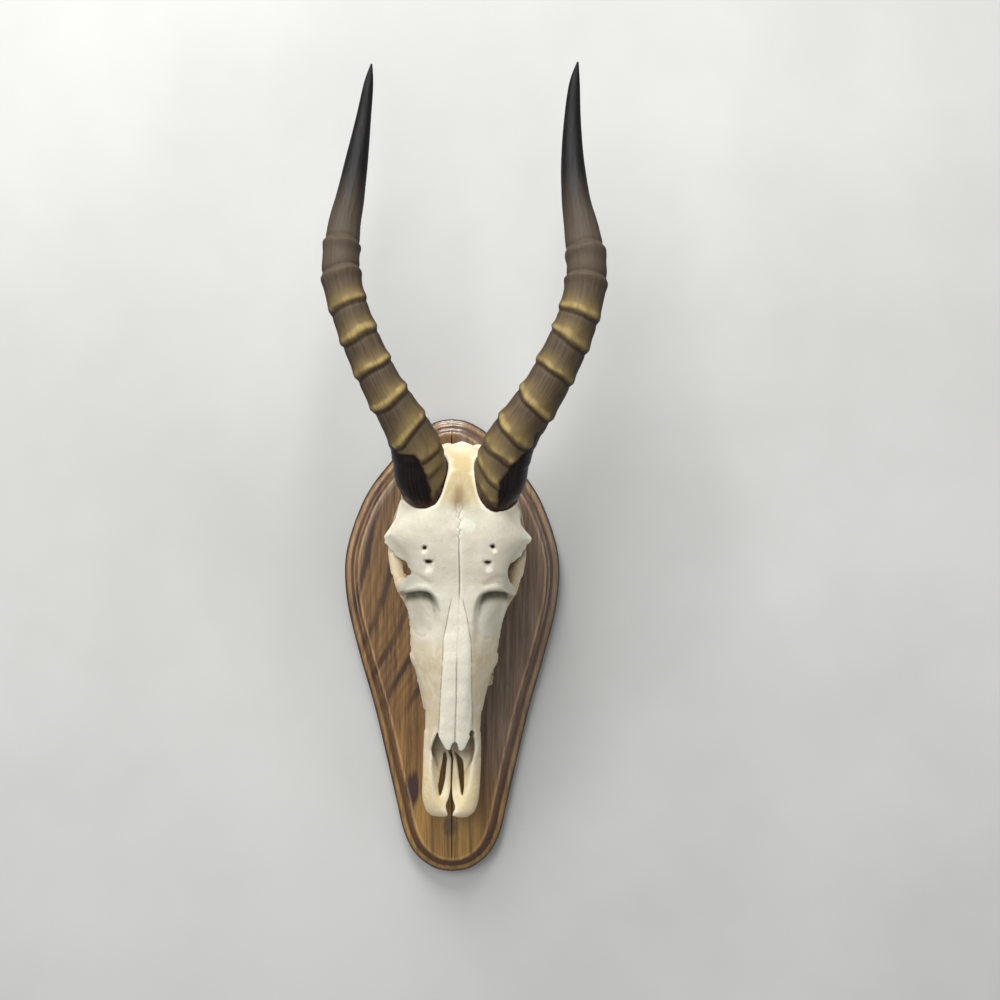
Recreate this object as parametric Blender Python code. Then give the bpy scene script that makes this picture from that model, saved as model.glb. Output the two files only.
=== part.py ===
"""A blesbok skull with its horns on a moulded wooden wall plaque.

Metres, +Z up. The wall is the plane y = 0, the plaque's back lies on it and the front faces -Y.
The origin is the centre of the plaque's back. The tables below are in millimetres.

The skull, horns and teeth are laid out in the skull's own frame: u across, v up the face from
the plaque's centre and h out from the wall. That frame is turned a little on the plaque.
"""

import math

import bmesh
import bpy
import numpy as np
from mathutils import Matrix, Vector

MM = 0.001
GAP = 0.3

# Plaque
PLAQUE_THICK = 20.0
PLAQUE_OUTLINE = (  # half width, height, from the top point down to the bottom point
    (0, 184), (11, 182.4), (21, 177.6), (31, 170.5), (41, 160), (51, 148), (63, 133), (72.5, 117),
    (81.5, 94), (86.6, 73), (87.2, 52), (84, 27), (75, -9), (62, -55), (46, -124), (40, -150),
    (33, -166), (24, -176), (12, -182.8), (0, -184.7),
)
EDGE_PROFILE = (  # inset from the outline, height over the wall: the moulded edge, back to front
    (0.0, 0.0), (0.0, 9.0), (1.4, 11.2), (4.6, 12.2), (7.0, 14.2), (8.4, 17.4), (10.4, 18.6), (11.6, 20.0),
)

# How the skull sits on the plaque
SKULL_ROLL = math.radians(2.0)
SKULL_SHIFT = 4.0

# Skull: half sections from the top middle to the bottom middle, each point (u, h)
BODY_SECTIONS = (
    (-134.5, ((0, 43), (7, 43.5), (12, 42.5), (14.5, 40), (12, 37), (6, 36), (0, 36))),
    (-129, ((0, 46), (9, 47), (16, 46), (19, 42), (16.5, 37), (8, 35), (0, 35))),
    (-118, ((0, 48), (10, 50), (18.5, 49.5), (22.2, 44.5), (20, 37), (9, 34), (0, 34))),
    (-100, ((0, 52), (9, 54), (17.5, 54), (22.6, 48), (21, 38), (9, 33), (0, 33))),
    (-80, ((0, 65), (9, 63.5), (16.5, 59), (22.2, 51), (21.5, 40), (10, 33), (0, 33))),
    (-62, ((0, 72), (8, 71), (16, 64.5), (21.6, 55), (21.5, 42), (11, 34), (0, 34))),
    (-45, ((0, 79), (8, 78), (16, 71), (22.6, 59), (23, 44), (14, 35), (0, 35))),
    (-25, ((0, 86), (9, 85), (18, 77), (26.5, 62), (28, 46), (25, 37), (0, 38))),
    (-5, ((0, 93), (10, 91.5), (20, 83), (33, 62), (32, 46), (28, 37), (0, 39))),
    (20, ((0, 99.5), (12, 98), (24, 89), (36, 68), (35, 48), (30, 37), (0, 40))),
    (40, ((0, 104.5), (16, 104), (30, 97), (41, 76), (37, 52), (32, 37), (0, 40))),
    (56, ((0, 109), (20, 108.5), (34, 102), (38.5, 86), (33, 60), (26, 40), (0, 38))),
    (72, ((0, 114), (24, 113.5), (38.5, 104), (38, 88), (28, 62), (18, 42), (0, 34))),
    (90, ((0, 119), (28, 118), (50, 105), (49, 92), (28, 66), (16, 42), (0, 27))),
    (104, ((0, 121.5), (28, 120), (43, 108), (41, 92), (30, 68), (18, 40), (0, 24))),
    (120, ((0, 122.5), (16, 121.5), (34, 111), (37, 92), (34, 70), (22, 42), (0, 23))),
    (136, ((0, 118), (14, 117), (27, 108), (35, 90), (35, 68), (24, 42), (0, 23))),
    (150, ((0, 107), (14, 106), (27, 97), (33, 82), (33, 64), (24, 42), (0, 24))),
    (157, ((0, 99), (14, 98), (25, 90), (31, 76), (31, 60), (22, 42), (0, 31))),
    (161, ((0, 91), (12, 90), (21, 82), (27, 70), (26, 57), (18, 46), (0, 40))),
    (162.5, ((0, 80), (8, 79), (13, 73), (16, 66), (15, 59), (10, 52), (0, 50))),
)
# Bars and ridges that grow from the body, each point (u, v, h, radius)
ZYGOMATIC_ARCH = (
    (29, -8, 56, 6), (35, 14, 59, 7.4), (39.5, 34, 61, 8), (43, 49, 62, 7.4), (45.6, 63, 62, 6.4),
    (46.4, 77, 61, 5.6), (45.6, 92, 59, 5.2), (43.5, 106, 57, 5.2), (39.5, 120, 54, 5.8), (32, 130, 53, 7),
)
ORBIT_RIM = (
    (38, 112, 106, 6), (43.5, 103, 103, 4.2), (50, 95, 100.4, 3.4), (53.2, 89, 99.4, 3), (49.5, 81, 98.6, 2.8),
    (41, 73, 96.5, 2.8), (36.5, 63, 91, 3.4), (37.5, 54, 82, 4.6), (41, 49, 70, 6),
)
POSTORBITAL_BAR = ((41, 109, 103, 5.5), (42.5, 108, 92, 4.4), (43.5, 106, 79, 4.2), (44, 103, 62, 5))
PEDICLE = ((16, 98, 84, 16), (22, 110, 92, 17.6), (26.5, 121, 98, 18.6))
NUCHAL_CREST = ((0, 160.5, 90, 3), (14, 160, 86, 3), (25, 157, 76, 3.4), (31, 150, 64, 4), (30, 142, 50, 5))
PAROCCIPITAL = ((25, 146, 46, 6), (24, 145, 34, 4.6), (22, 144, 22, 3.6))
CONDYLE = ((12, 152, 40), (9, 11, 13))
BULLA = ((19, 122, 34), (9, 13, 11))
# Hollows: each is a bar or a ball that is cut away
ORBIT = ((50, 82, 81), (29, 19, 15.5))
TEMPORAL_FOSSA = ((33, 118, 70, 5), (39, 124, 76, 7), (43, 134, 82, 9), (47, 146, 88, 10))
NASAL_CAVITY = ((0, -20, 72, 4), (0, -42, 61, 8.5), (0, -62, 55, 11.5), (0, -80, 53, 12))
NOSE_OPENING = ((0, -79, 60, 15.4), (0, -92, 59, 15.4), (0, -112, 59, 15), (0, -129, 60, 14))
NASAL_FLOOR = 42.5
NOSTRIL = ((15.6, -66, 67, 1.8), (15, -73, 66, 3.4), (12.5, -82, 64, 6))
CHOANAE = ((0, 50, 30, 9), (0, 66, 34, 11), (0, 84, 33, 9), (0, 98, 24, 7))
PALATE = ((0, -40, 25, 9.5), (0, -10, 20, 18.5), (0, 24, 18, 21.5), (0, 48, 18, 21.5))
PREORBITAL_FOSSA = ((32, 49.5, 107.5, 16), (32.5, 36, 104, 16), (31.5, 18, 97.5, 14), (28.5, -2, 90.5, 10.5))
INCISIVE_FISSURE = ((2.6, -83, 2), (9.4, -114, 1.6))  # u, v and half width at each end
MIDLINE_SLIT = ((0, -74, 0.2), (0, -79.5, 1.8), (0, -90, 1), (0, -108, 0.8), (0, -122, 4.4), (0, -130, 1.4),
                (0, -140, 1.4))
NASAL_TIPS = ((-52, 13.6, 76), (-66, 13.4, 71), (-72, 11.8, 68.6), (-77, 8.6, 66.6), (-79.5, 6.4, 65.6))
NASAL_THICK = 3.0
FORAMEN_MAGNUM = ((0, 172, 52), (9, 24, 9))
SKULL_VOXEL = 1.7
SKULL_KEEP = 0.056

# Horns: points along the middle of each, (u, v, h, half width), and where the ridges lie along v
HORN_PATHS = {
    "left": (
        (26.5, 121, 98, 19), (29.5, 134, 105.5, 20.6), (32.5, 150, 113, 19.6), (38.5, 166, 119.5, 18),
        (49, 184, 125.5, 16.2), (62, 205, 130, 15), (81, 244, 133.5, 14.2), (93.2, 282, 131, 14.3),
        (93.5, 318, 122, 12.4), (90.5, 342, 114, 10.8), (87.1, 374, 104.5, 8.6), (83.8, 406, 97.5, 5.9),
        (81, 435, 94, 3.6), (79.3, 450, 93.5, 1),
    ),
    "right": (
        (26.5, 121, 98, 19), (29.8, 134, 105.5, 20.8), (33, 150, 113, 19.9), (40, 168, 119.5, 18.4),
        (51.5, 187, 125.5, 16.8), (64.5, 209, 130, 16), (82, 250, 133.5, 15.4), (89.6, 288, 130.5, 15.2),
        (85.5, 322, 121.5, 13.2), (80.5, 347, 113.5, 10.9), (77.2, 378, 104, 8.9), (76.1, 410, 97.5, 6.6),
        (76.8, 440, 94.5, 4.2), (78.8, 457, 94, 1),
    ),
}
HORN_RIDGES = {
    "left": (128, 141.5, 155, 171, 193, 215.5, 239, 261.5, 279.5, 301.5),
    "right": (129, 141, 157, 172.5, 193.5, 217.5, 241.5, 261, 283, 306),
}
HORN_DEEP = 1.2  # depth of a horn's section over its width, at its base
RIDGE_FRONT = 1.7
RIDGE_BACK = 0.6
HORN_SIDES = 14

# Cheek teeth
TOOTH_FIRST_V = -29.0
TOOTH_LENGTHS = (8.5, 10.0, 11.0, 13.0, 14.5, 14.5)
TOOTH_WIDTH = 12.0
TOOTH_ROW_U = (24.0, 28.5)  # middle of the row at its first and last tooth
TOOTH_SOCKET = 41.0

# Screws through the plaque into the skull's base
SCREW_HEIGHTS = {"screw_lower": 112.0, "screw_upper": 134.0}
SCREW_HEAD = 4.4
SCREW_SHANK = 2.2
SCREW_LENGTH = 45.0
SCREW_SLOT = 1.2


def clear_scene():
    for old in list(bpy.data.objects):
        bpy.data.objects.remove(old)


def material(name, colour, roughness, metallic=0.0):
    made = bpy.data.materials.new(name)
    made.use_nodes = True
    shader = made.node_tree.nodes["Principled BSDF"]
    shader.inputs["Base Color"].default_value = (*colour, 1)
    shader.inputs["Roughness"].default_value = roughness
    shader.inputs["Metallic"].default_value = metallic
    return made


def smooth_rows(rows, steps):
    """Catmull-Rom rows through the given ones, with steps rows to each stretch."""
    rows = np.array(rows, float)
    ends = np.concatenate([[2 * rows[0] - rows[1]], rows, [2 * rows[-1] - rows[-2]]])
    out = []
    for i in range(1, len(ends) - 2):
        a, b, c, d = ends[i - 1 : i + 3]
        for t in np.arange(steps) / steps:
            out.append(0.5 * (2 * b + (c - a) * t + (2 * a - 5 * b + 4 * c - d) * t**2
                              + (3 * b - 3 * c + d - a) * t**3))
    return np.array(out + [rows[-1]])


def skull_point(point):
    """A point (u, v, h) in millimetres as the skull frame's own x, y, z in metres."""
    return Vector((point[0] * MM, -point[2] * MM, point[1] * MM))


def add_rings(shape, rings):
    """Joins rings of points, each closed, into one capped tube."""
    loops = [[shape.verts.new(point) for point in ring] for ring in rings]
    count = len(loops[0])
    for low, high in zip(loops, loops[1:]):
        for i in range(count):
            j = (i + 1) % count
            shape.faces.new((low[i], low[j], high[j], high[i]))
    for loop in (loops[0][::-1], loops[-1]):
        middle = shape.verts.new(sum((v.co for v in loop), Vector()) / count)
        for i in range(count):
            shape.faces.new((loop[i], loop[(i + 1) % count], middle))


def add_body(shape, steps=4):
    """The loft through the body's half sections, mirrored."""
    rows = [[section[0], *np.ravel(section[1])] for section in BODY_SECTIONS]
    rings = []
    for row in smooth_rows(rows, steps):
        half = smooth_rows(row[1:].reshape(-1, 2), 3)
        other = half[-2:0:-1] * (-1, 1)
        rings.append([skull_point((u, row[0], h)) for u, h in np.concatenate([half, other])])
    add_rings(shape, rings)


def path_frames(points):
    """Unit tangent, side and front vectors along a path, with the side as level as it can be."""
    tangents = np.gradient(points, axis=0)
    tangents /= np.linalg.norm(tangents, axis=1)[:, None]
    sides = np.cross(tangents, (0.0, 0.0, 1.0))
    flat = np.linalg.norm(sides, axis=1) < 0.2
    sides[flat] = np.cross(tangents[flat], (1.0, 0.0, 0.0))
    sides /= np.linalg.norm(sides, axis=1)[:, None]
    return tangents, sides, np.cross(sides, tangents)


def add_bar(shape, path, sign=1, sides=12, steps=4, floor=None):
    """A round bar along (u, v, h, radius) points, mirrored when sign is -1, with a flat floor if one is given."""
    rows = smooth_rows(path, steps)
    centres = rows[:, :3] * (sign, 1, 1)
    _, across, out = path_frames(centres)
    turns = np.arange(sides) * 2 * math.pi / sides
    rings = []
    for centre, a, b, radius in zip(centres, across, out, rows[:, 3]):
        ring = np.array([centre + radius * (math.cos(t) * a + math.sin(t) * b) for t in turns])
        if floor is not None:
            ring[:, 2] = np.maximum(ring[:, 2], floor)
        rings.append([skull_point(point) for point in ring])
    add_rings(shape, rings)


def add_ball(shape, centre, radii, sign=1):
    turn = Matrix.Translation(skull_point((centre[0] * sign, centre[1], centre[2])))
    scale = Matrix.Diagonal((radii[0] * MM, radii[2] * MM, radii[1] * MM, 1))
    bmesh.ops.create_icosphere(shape, subdivisions=3, radius=1, matrix=turn @ scale)


def add_prism(shape, outline, low, high):
    """A prism over an outline of (u, v), from one height over the wall to another."""
    rings = [[skull_point((u, v, h)) for u, v in outline] for h in (low, high)]
    add_rings(shape, rings)


def add_object(name, shape, made_of=None, parent=None):
    bmesh.ops.recalc_face_normals(shape, faces=shape.faces)
    mesh = bpy.data.meshes.new(name)
    shape.to_mesh(mesh)
    shape.free()
    made = bpy.data.objects.new(name, mesh)
    bpy.context.scene.collection.objects.link(made)
    made.parent = parent
    if made_of:
        mesh.materials.append(made_of)
        mesh.shade_smooth()
        mesh.set_sharp_from_angle(angle=math.radians(40))
    else:
        made.hide_render = True
        made.display_type = "WIRE"
    return made


def add_remesh(made, voxel):
    step = made.modifiers.new("fuse", "REMESH")
    step.mode = "VOXEL"
    step.voxel_size = voxel * MM
    step.use_smooth_shade = True


def add_boolean(made, other, operation):
    step = made.modifiers.new(other.name, "BOOLEAN")
    step.operation = operation
    step.object = other
    step.solver = "EXACT"


def add_smooth(made, factor, times):
    step = made.modifiers.new("soften", "SMOOTH")
    step.factor = factor
    step.iterations = times


# Skull


def skull_hollows(parent):
    shape = bmesh.new()
    for sign in (-1, 1):
        add_ball(shape, *ORBIT, sign)
        add_bar(shape, TEMPORAL_FOSSA, sign)
        add_bar(shape, NOSTRIL, sign)
        add_bar(shape, PREORBITAL_FOSSA, sign)
    add_bar(shape, CHOANAE)
    add_bar(shape, PALATE, sides=20)
    add_ball(shape, *FORAMEN_MAGNUM)
    made = add_object("skull_hollows", shape, parent=parent)
    add_remesh(made, SKULL_VOXEL)
    return made


def nasal_cavity(parent):
    """The nasal cavity and the nose's open front, with a flat nasal floor."""
    shape = bmesh.new()
    add_bar(shape, NASAL_CAVITY, sides=20, floor=NASAL_FLOOR)
    add_bar(shape, NOSE_OPENING, sides=20, floor=NASAL_FLOOR)
    made = add_object("nasal_cavity", shape, parent=parent)
    add_remesh(made, SKULL_VOXEL)
    return made


def add_nasal_tips(shape):
    """The free front ends of the two nasal bones, arched across."""
    rings = []
    for v, half, top in NASAL_TIPS:
        across = np.linspace(-1, 1, 9)
        upper = [(half * a, top - 3.5 * (half / NASAL_TIPS[0][1]) * a * a) for a in across]
        lower = [(u * 0.96, h - NASAL_THICK) for u, h in upper[::-1]]
        rings.append([skull_point((u, v, h)) for u, h in upper + lower])
    add_rings(shape, rings)


def skull_slots(parent):
    shape = bmesh.new()
    (u0, v0, w0), (u1, v1, w1) = INCISIVE_FISSURE
    for sign in (-1, 1):
        blade = [(u0 - w0 * 0.4, v0), (u0 + w0, v0 - 5), (u1 + w1, v1 + 9), (u1 + 0.4, v1), (u1 - w1, v1 + 7)]
        add_prism(shape, [(sign * u, v) for u, v in blade], 20, 58)
    right = [(u + w, v) for u, v, w in MIDLINE_SLIT]
    left = [(u - w, v) for u, v, w in MIDLINE_SLIT]
    add_prism(shape, right + left[::-1], 20, 70)
    return add_object("skull_slots", shape, parent=parent)


def skull_arches(parent):
    shape = bmesh.new()
    for sign in (-1, 1):
        for bar in (ZYGOMATIC_ARCH, ORBIT_RIM, POSTORBITAL_BAR, PEDICLE, NUCHAL_CREST, PAROCCIPITAL):
            add_bar(shape, bar, sign)
        add_ball(shape, *CONDYLE, sign)
        add_ball(shape, *BULLA, sign)
    add_nasal_tips(shape)
    made = add_object("skull_arches", shape, parent=parent)
    add_remesh(made, SKULL_VOXEL)
    return made


def skull_seats(parent):
    """What the finished bone keeps clear of: the plaque, the horns and the teeth."""
    plaque_seat = bmesh.new()
    under = [(-90, -150), (90, -150), (90, 180), (-90, 180)]
    add_prism(plaque_seat, under, 0, PLAQUE_THICK + GAP)
    horn_seat = bmesh.new()
    tooth_seat = bmesh.new()
    for sign, name in ((-1, "left"), (1, "right")):
        add_horn(horn_seat, sign, name, GAP)
        add_prism(tooth_seat, tooth_row_outline(sign), PLAQUE_THICK - 1, TOOTH_SOCKET + GAP)
    seats = (("plaque_seat", plaque_seat), ("horn_seat", horn_seat), ("tooth_seat", tooth_seat))
    return [add_object(name, shape, parent=parent) for name, shape in seats]


def screw_pilots():
    shape = bmesh.new()
    for height in SCREW_HEIGHTS.values():
        add_screw(shape, height, GAP)
    return add_object("screw_pilots", shape)


def build_skull(parent, pilots):
    shape = bmesh.new()
    add_body(shape)
    made = add_object("skull", shape, material("bone", (0.72, 0.68, 0.56), 0.62), parent)
    for hollow in (skull_hollows(parent), nasal_cavity(parent)):
        add_boolean(made, hollow, "DIFFERENCE")
    add_boolean(made, skull_arches(parent), "UNION")
    add_remesh(made, SKULL_VOXEL)
    add_smooth(made, 0.5, 3)
    add_boolean(made, skull_slots(parent), "DIFFERENCE")
    thin = made.modifiers.new("thin", "DECIMATE")
    thin.ratio = SKULL_KEEP
    for seat in [*skull_seats(parent), pilots]:
        add_boolean(made, seat, "DIFFERENCE")
    return made


# Horns


def ridge_height(v, ridges):
    """The rings' swelling at height v: a slow rise from above and a sharp fall below each crest."""
    swell = 0.0
    for crest in ridges:
        above = max(0.0, 1 - (v - crest) / 7) if v >= crest else max(0.0, 1 - (crest - v) / 3)
        swell = max(swell, above)
    return swell


def horn_levels(rows, ridges):
    """Where along v the horn's loops lie: at each crest and its feet, then evenly to the tip."""
    low = rows[0][1]
    levels = [low, low + 3.5]
    for crest in ridges:
        levels += [crest - 3, crest, crest + 7]
    levels += list(np.linspace(ridges[-1] + 20, rows[-1][1], 9))
    ordered = [levels[0]]
    for level in sorted(levels[1:]):
        if level - ordered[-1] > 1.6:
            ordered.append(level)
    return ordered


def add_horn(shape, sign, name, grow=0.0):
    """One horn; grow thickens it on all sides, for the seat that it is let into."""
    rows = smooth_rows(HORN_PATHS[name], 8)
    levels = horn_levels(rows, HORN_RIDGES[name])
    if grow:
        levels = [level for level in levels if level < HORN_PATHS[name][4][1]]
    places = np.array([[np.interp(level, rows[:, 1], rows[:, i]) for i in range(4)] for level in levels])
    fine = smooth_rows(rows[:, :3], 1) * (sign, 1, 1)
    tangents, sides, fronts = path_frames(fine)
    turns = np.arange(HORN_SIDES) * 2 * math.pi / HORN_SIDES
    top = rows[-1][1]
    rings = []
    for index, (u, v, h, radius) in enumerate(places):
        pick = [np.array([np.interp(v, rows[:, 1], frame[:, i]) for i in range(3)]) for frame in (sides, fronts)]
        along = np.array([np.interp(v, rows[:, 1], tangents[:, i]) for i in range(3)])
        deep = 1 + (HORN_DEEP - 1) * (1 - (v - places[0][1]) / (top - places[0][1]))
        centre = np.array((u * sign, v, h)) - along * (grow if index == 0 else 0)
        swell = ridge_height(v, HORN_RIDGES[name]) * min(1, radius / 12)
        ring = []
        for t in turns:
            front = 0.5 + 0.5 * math.sin(t)
            reach = swell * (RIDGE_BACK + (RIDGE_FRONT - RIDGE_BACK) * front) + grow
            out = math.cos(t) * (radius + reach) * pick[0] + math.sin(t) * (radius * deep + reach) * pick[1]
            ring.append(skull_point(centre + out))
        rings.append(ring)
    add_rings(shape, rings)


def build_horn(parent, sign, name, keratin):
    shape = bmesh.new()
    add_horn(shape, sign, name)
    return add_object(f"horn_{name}", shape, keratin, parent)


# Teeth


def tooth_row_u(v):
    """How far out the middle of the row lies at height v."""
    share = (v - TOOTH_FIRST_V) / sum(TOOTH_LENGTHS)
    return TOOTH_ROW_U[0] + share * (TOOTH_ROW_U[1] - TOOTH_ROW_U[0])


def tooth_row_outline(sign):
    """The socket trough's outline around a whole row of teeth."""
    reach = TOOTH_WIDTH / 2 + GAP
    low = TOOTH_FIRST_V - GAP
    high = TOOTH_FIRST_V + sum(TOOTH_LENGTHS) + GAP
    corners = ((-reach, low), (reach, low), (reach, high), (-reach, high))
    return [(sign * (tooth_row_u(v) + across), v) for across, v in corners]


def tooth_outline(start, length, sign):
    """A tooth's outline: two rounded lobes with a groove between them on the cheek side."""
    cheek = ((-0.55, 0), (0.55, 0), (1, 0.14), (1, 0.36), (0.74, 0.5), (1, 0.64), (1, 0.86), (0.55, 1))
    tongue = ((-0.55, 1), (-0.95, 0.8), (-0.85, 0.5), (-0.95, 0.2))
    points = [(across * TOOTH_WIDTH / 2, start + along * length) for across, along in cheek + tongue]
    return [(sign * (tooth_row_u(v) + across), v) for across, v in points]


def build_teeth(parent, enamel):
    for sign, name in ((-1, "left"), (1, "right")):
        start = TOOTH_FIRST_V
        for number, length in enumerate(TOOTH_LENGTHS, 1):
            shape = bmesh.new()
            add_prism(shape, tooth_outline(start, length - GAP, sign), PLAQUE_THICK + GAP, TOOTH_SOCKET)
            add_object(f"tooth_{name}_{number}", shape, enamel, parent)
            start += length


# Plaque


def plaque_rings():
    """The outline set in by each step of the edge profile."""
    half = smooth_rows(PLAQUE_OUTLINE, 2)
    loop = np.concatenate([half, half[-2:0:-1] * (-1, 1)])
    along = np.roll(loop, -1, axis=0) - np.roll(loop, 1, axis=0)
    along /= np.linalg.norm(along, axis=1)[:, None]
    inward = np.stack([along[:, 1], -along[:, 0]], axis=1)
    for inset, height in EDGE_PROFILE:
        yield [Vector((x * MM, -height * MM, z * MM)) for x, z in loop + inward * inset]


def build_plaque(pilots):
    shape = bmesh.new()
    add_rings(shape, list(plaque_rings()))
    made = add_object("plaque", shape, material("oak", (0.21, 0.12, 0.06), 0.4))
    add_boolean(made, pilots, "DIFFERENCE")
    return made


# Screws


def add_screw(shape, height, grow=0.0, sides=16):
    """A countersunk screw that points out from the wall, its head flush in the plaque's back."""
    x = SKULL_SHIFT + height * math.tan(SKULL_ROLL)
    sink = SCREW_HEAD - SCREW_SHANK
    start = -2.0 if grow else 0.4
    profile = (
        (start, SCREW_HEAD + grow), (1.0, SCREW_HEAD + grow), (1.0 + sink, SCREW_SHANK + grow),
        (SCREW_LENGTH - 6, SCREW_SHANK + grow), (SCREW_LENGTH + grow, 0.5 + grow),
    )
    rings = []
    for out, radius in profile:
        turns = [i * 2 * math.pi / sides for i in range(sides)]
        rings.append([Vector(((x + radius * math.cos(t)) * MM, -out * MM, (height + radius * math.sin(t)) * MM))
                      for t in turns])
    add_rings(shape, rings)


def build_screws(steel):
    for name, height in SCREW_HEIGHTS.items():
        x = (SKULL_SHIFT + height * math.tan(SKULL_ROLL)) * MM
        shape = bmesh.new()
        add_screw(shape, height)
        made = add_object(name, shape, steel)
        slot = bmesh.new()
        for wide, tall in ((SCREW_SLOT, 5.4), (5.4, SCREW_SLOT)):
            size = Matrix.Diagonal((wide * MM, 4 * MM, tall * MM, 1))
            bmesh.ops.create_cube(slot, size=1, matrix=Matrix.Translation((x, 0, height * MM)) @ size)
        cross = add_object(f"{name}_slot", slot)
        add_boolean(made, cross, "DIFFERENCE")
        made.modifiers[cross.name].use_self = True


def main():
    clear_scene()
    pose = bpy.data.objects.new("skull_pose", None)
    bpy.context.scene.collection.objects.link(pose)
    pose.location.x = SKULL_SHIFT * MM
    pose.rotation_euler.y = SKULL_ROLL
    pilots = screw_pilots()
    build_plaque(pilots)
    build_skull(pose, pilots)
    keratin = material("keratin", (0.10, 0.075, 0.045), 0.5)
    build_horn(pose, -1, "left", keratin)
    build_horn(pose, 1, "right", keratin)
    build_teeth(pose, material("enamel", (0.70, 0.62, 0.45), 0.35))
    build_screws(material("steel", (0.55, 0.55, 0.56), 0.35, 1.0))


main()
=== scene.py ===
"""A blesbok skull on a moulded oak wall plaque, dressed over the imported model.

The tables are in millimetres. The skull and horns are laid out in the skull's own frame: u across,
v up the face and h out from the wall.
"""

import math

import bpy
import numpy as np
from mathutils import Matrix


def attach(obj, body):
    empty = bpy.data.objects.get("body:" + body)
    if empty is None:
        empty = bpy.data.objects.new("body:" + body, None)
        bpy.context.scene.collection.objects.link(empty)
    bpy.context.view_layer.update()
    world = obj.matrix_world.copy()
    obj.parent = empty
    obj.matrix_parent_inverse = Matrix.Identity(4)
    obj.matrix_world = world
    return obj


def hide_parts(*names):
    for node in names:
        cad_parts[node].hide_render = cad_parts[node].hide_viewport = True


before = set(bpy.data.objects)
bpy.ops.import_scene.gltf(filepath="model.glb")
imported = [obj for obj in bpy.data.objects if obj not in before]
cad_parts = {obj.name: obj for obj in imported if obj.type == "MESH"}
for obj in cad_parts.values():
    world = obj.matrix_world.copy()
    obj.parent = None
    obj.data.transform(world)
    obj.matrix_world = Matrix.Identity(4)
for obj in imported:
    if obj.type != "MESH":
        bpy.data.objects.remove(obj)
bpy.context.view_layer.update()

import openvdb
from mathutils import Vector

MM = 0.001
GAP = 0.3
SKULL_ROLL = math.radians(2.0)
SKULL_SHIFT = 4.0
PLAQUE_THICK = 20.0

# Camera
CAMERA_AT = (0.039, -1.45, 0.118)
CAMERA_LENS = 63.65
CAMERA_SENSOR = 36

# Room
WALL_HALF = 3.0
WALL_BEHIND = 0.0006
SKY_COLOUR = (0.86, 0.88, 0.9, 1)
SKY_STRENGTH = 0.34
LIGHT_AIM = (0, 0, 0.1)
LIGHTS = (  # name, place, size and power
    ("ceiling", (-0.25, -1.0, 1.8), (1.1, 0.8), 50),
    ("front", (-0.9, -2.2, 0.9), (1.6, 1.6), 26),
    ("window", (-1.5, -1.1, 0.3), (0.22, 1.5), 5),
    ("window", (1.5, -1.1, 0.3), (0.22, 1.5), 5),
)

# Plaque
PLAQUE_OUTLINE = (  # half width, height, from the top point down to the bottom point
    (0, 184), (11, 182.4), (21, 177.6), (31, 170.5), (41, 160), (51, 148), (63, 133), (72.5, 117),
    (81.5, 94), (86.6, 73), (87.2, 52), (84, 27), (75, -9), (62, -55), (46, -124), (40, -150),
    (33, -166), (24, -176), (12, -182.8), (0, -184.7),
)
EDGE_PROFILE = (  # inset from the outline, height over the wall
    (0.6, 0.0), (0.0, 0.8), (0.0, 8.2), (0.25, 9.2), (1.0, 10.0), (1.9, 10.4), (2.1, 10.9), (2.6, 11.4),
    (3.8, 11.7), (5.2, 12.1), (6.4, 13.2), (7.3, 14.9), (7.7, 16.4), (7.75, 17.2), (8.3, 17.5), (9.0, 17.7),
    (9.7, 18.2), (10.3, 19.0), (11.2, 19.7), (12.4, 20.0), (16.0, 20.0),
)
BOARD_JOINT = ((175, 3.4), (-181, -3.9))  # height and x of the joint at its two ends
SCREW_HEIGHTS = (112.0, 134.0)
SCREW_PIT = ((-2, 4.7), (1.0, 4.7), (3.2, 2.5), (24, 2.5))  # depth from the back, radius
SCREW_TURNS = 32
PLAQUE_STEPS = 8
SHARP_ANGLE = math.radians(32)

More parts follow.
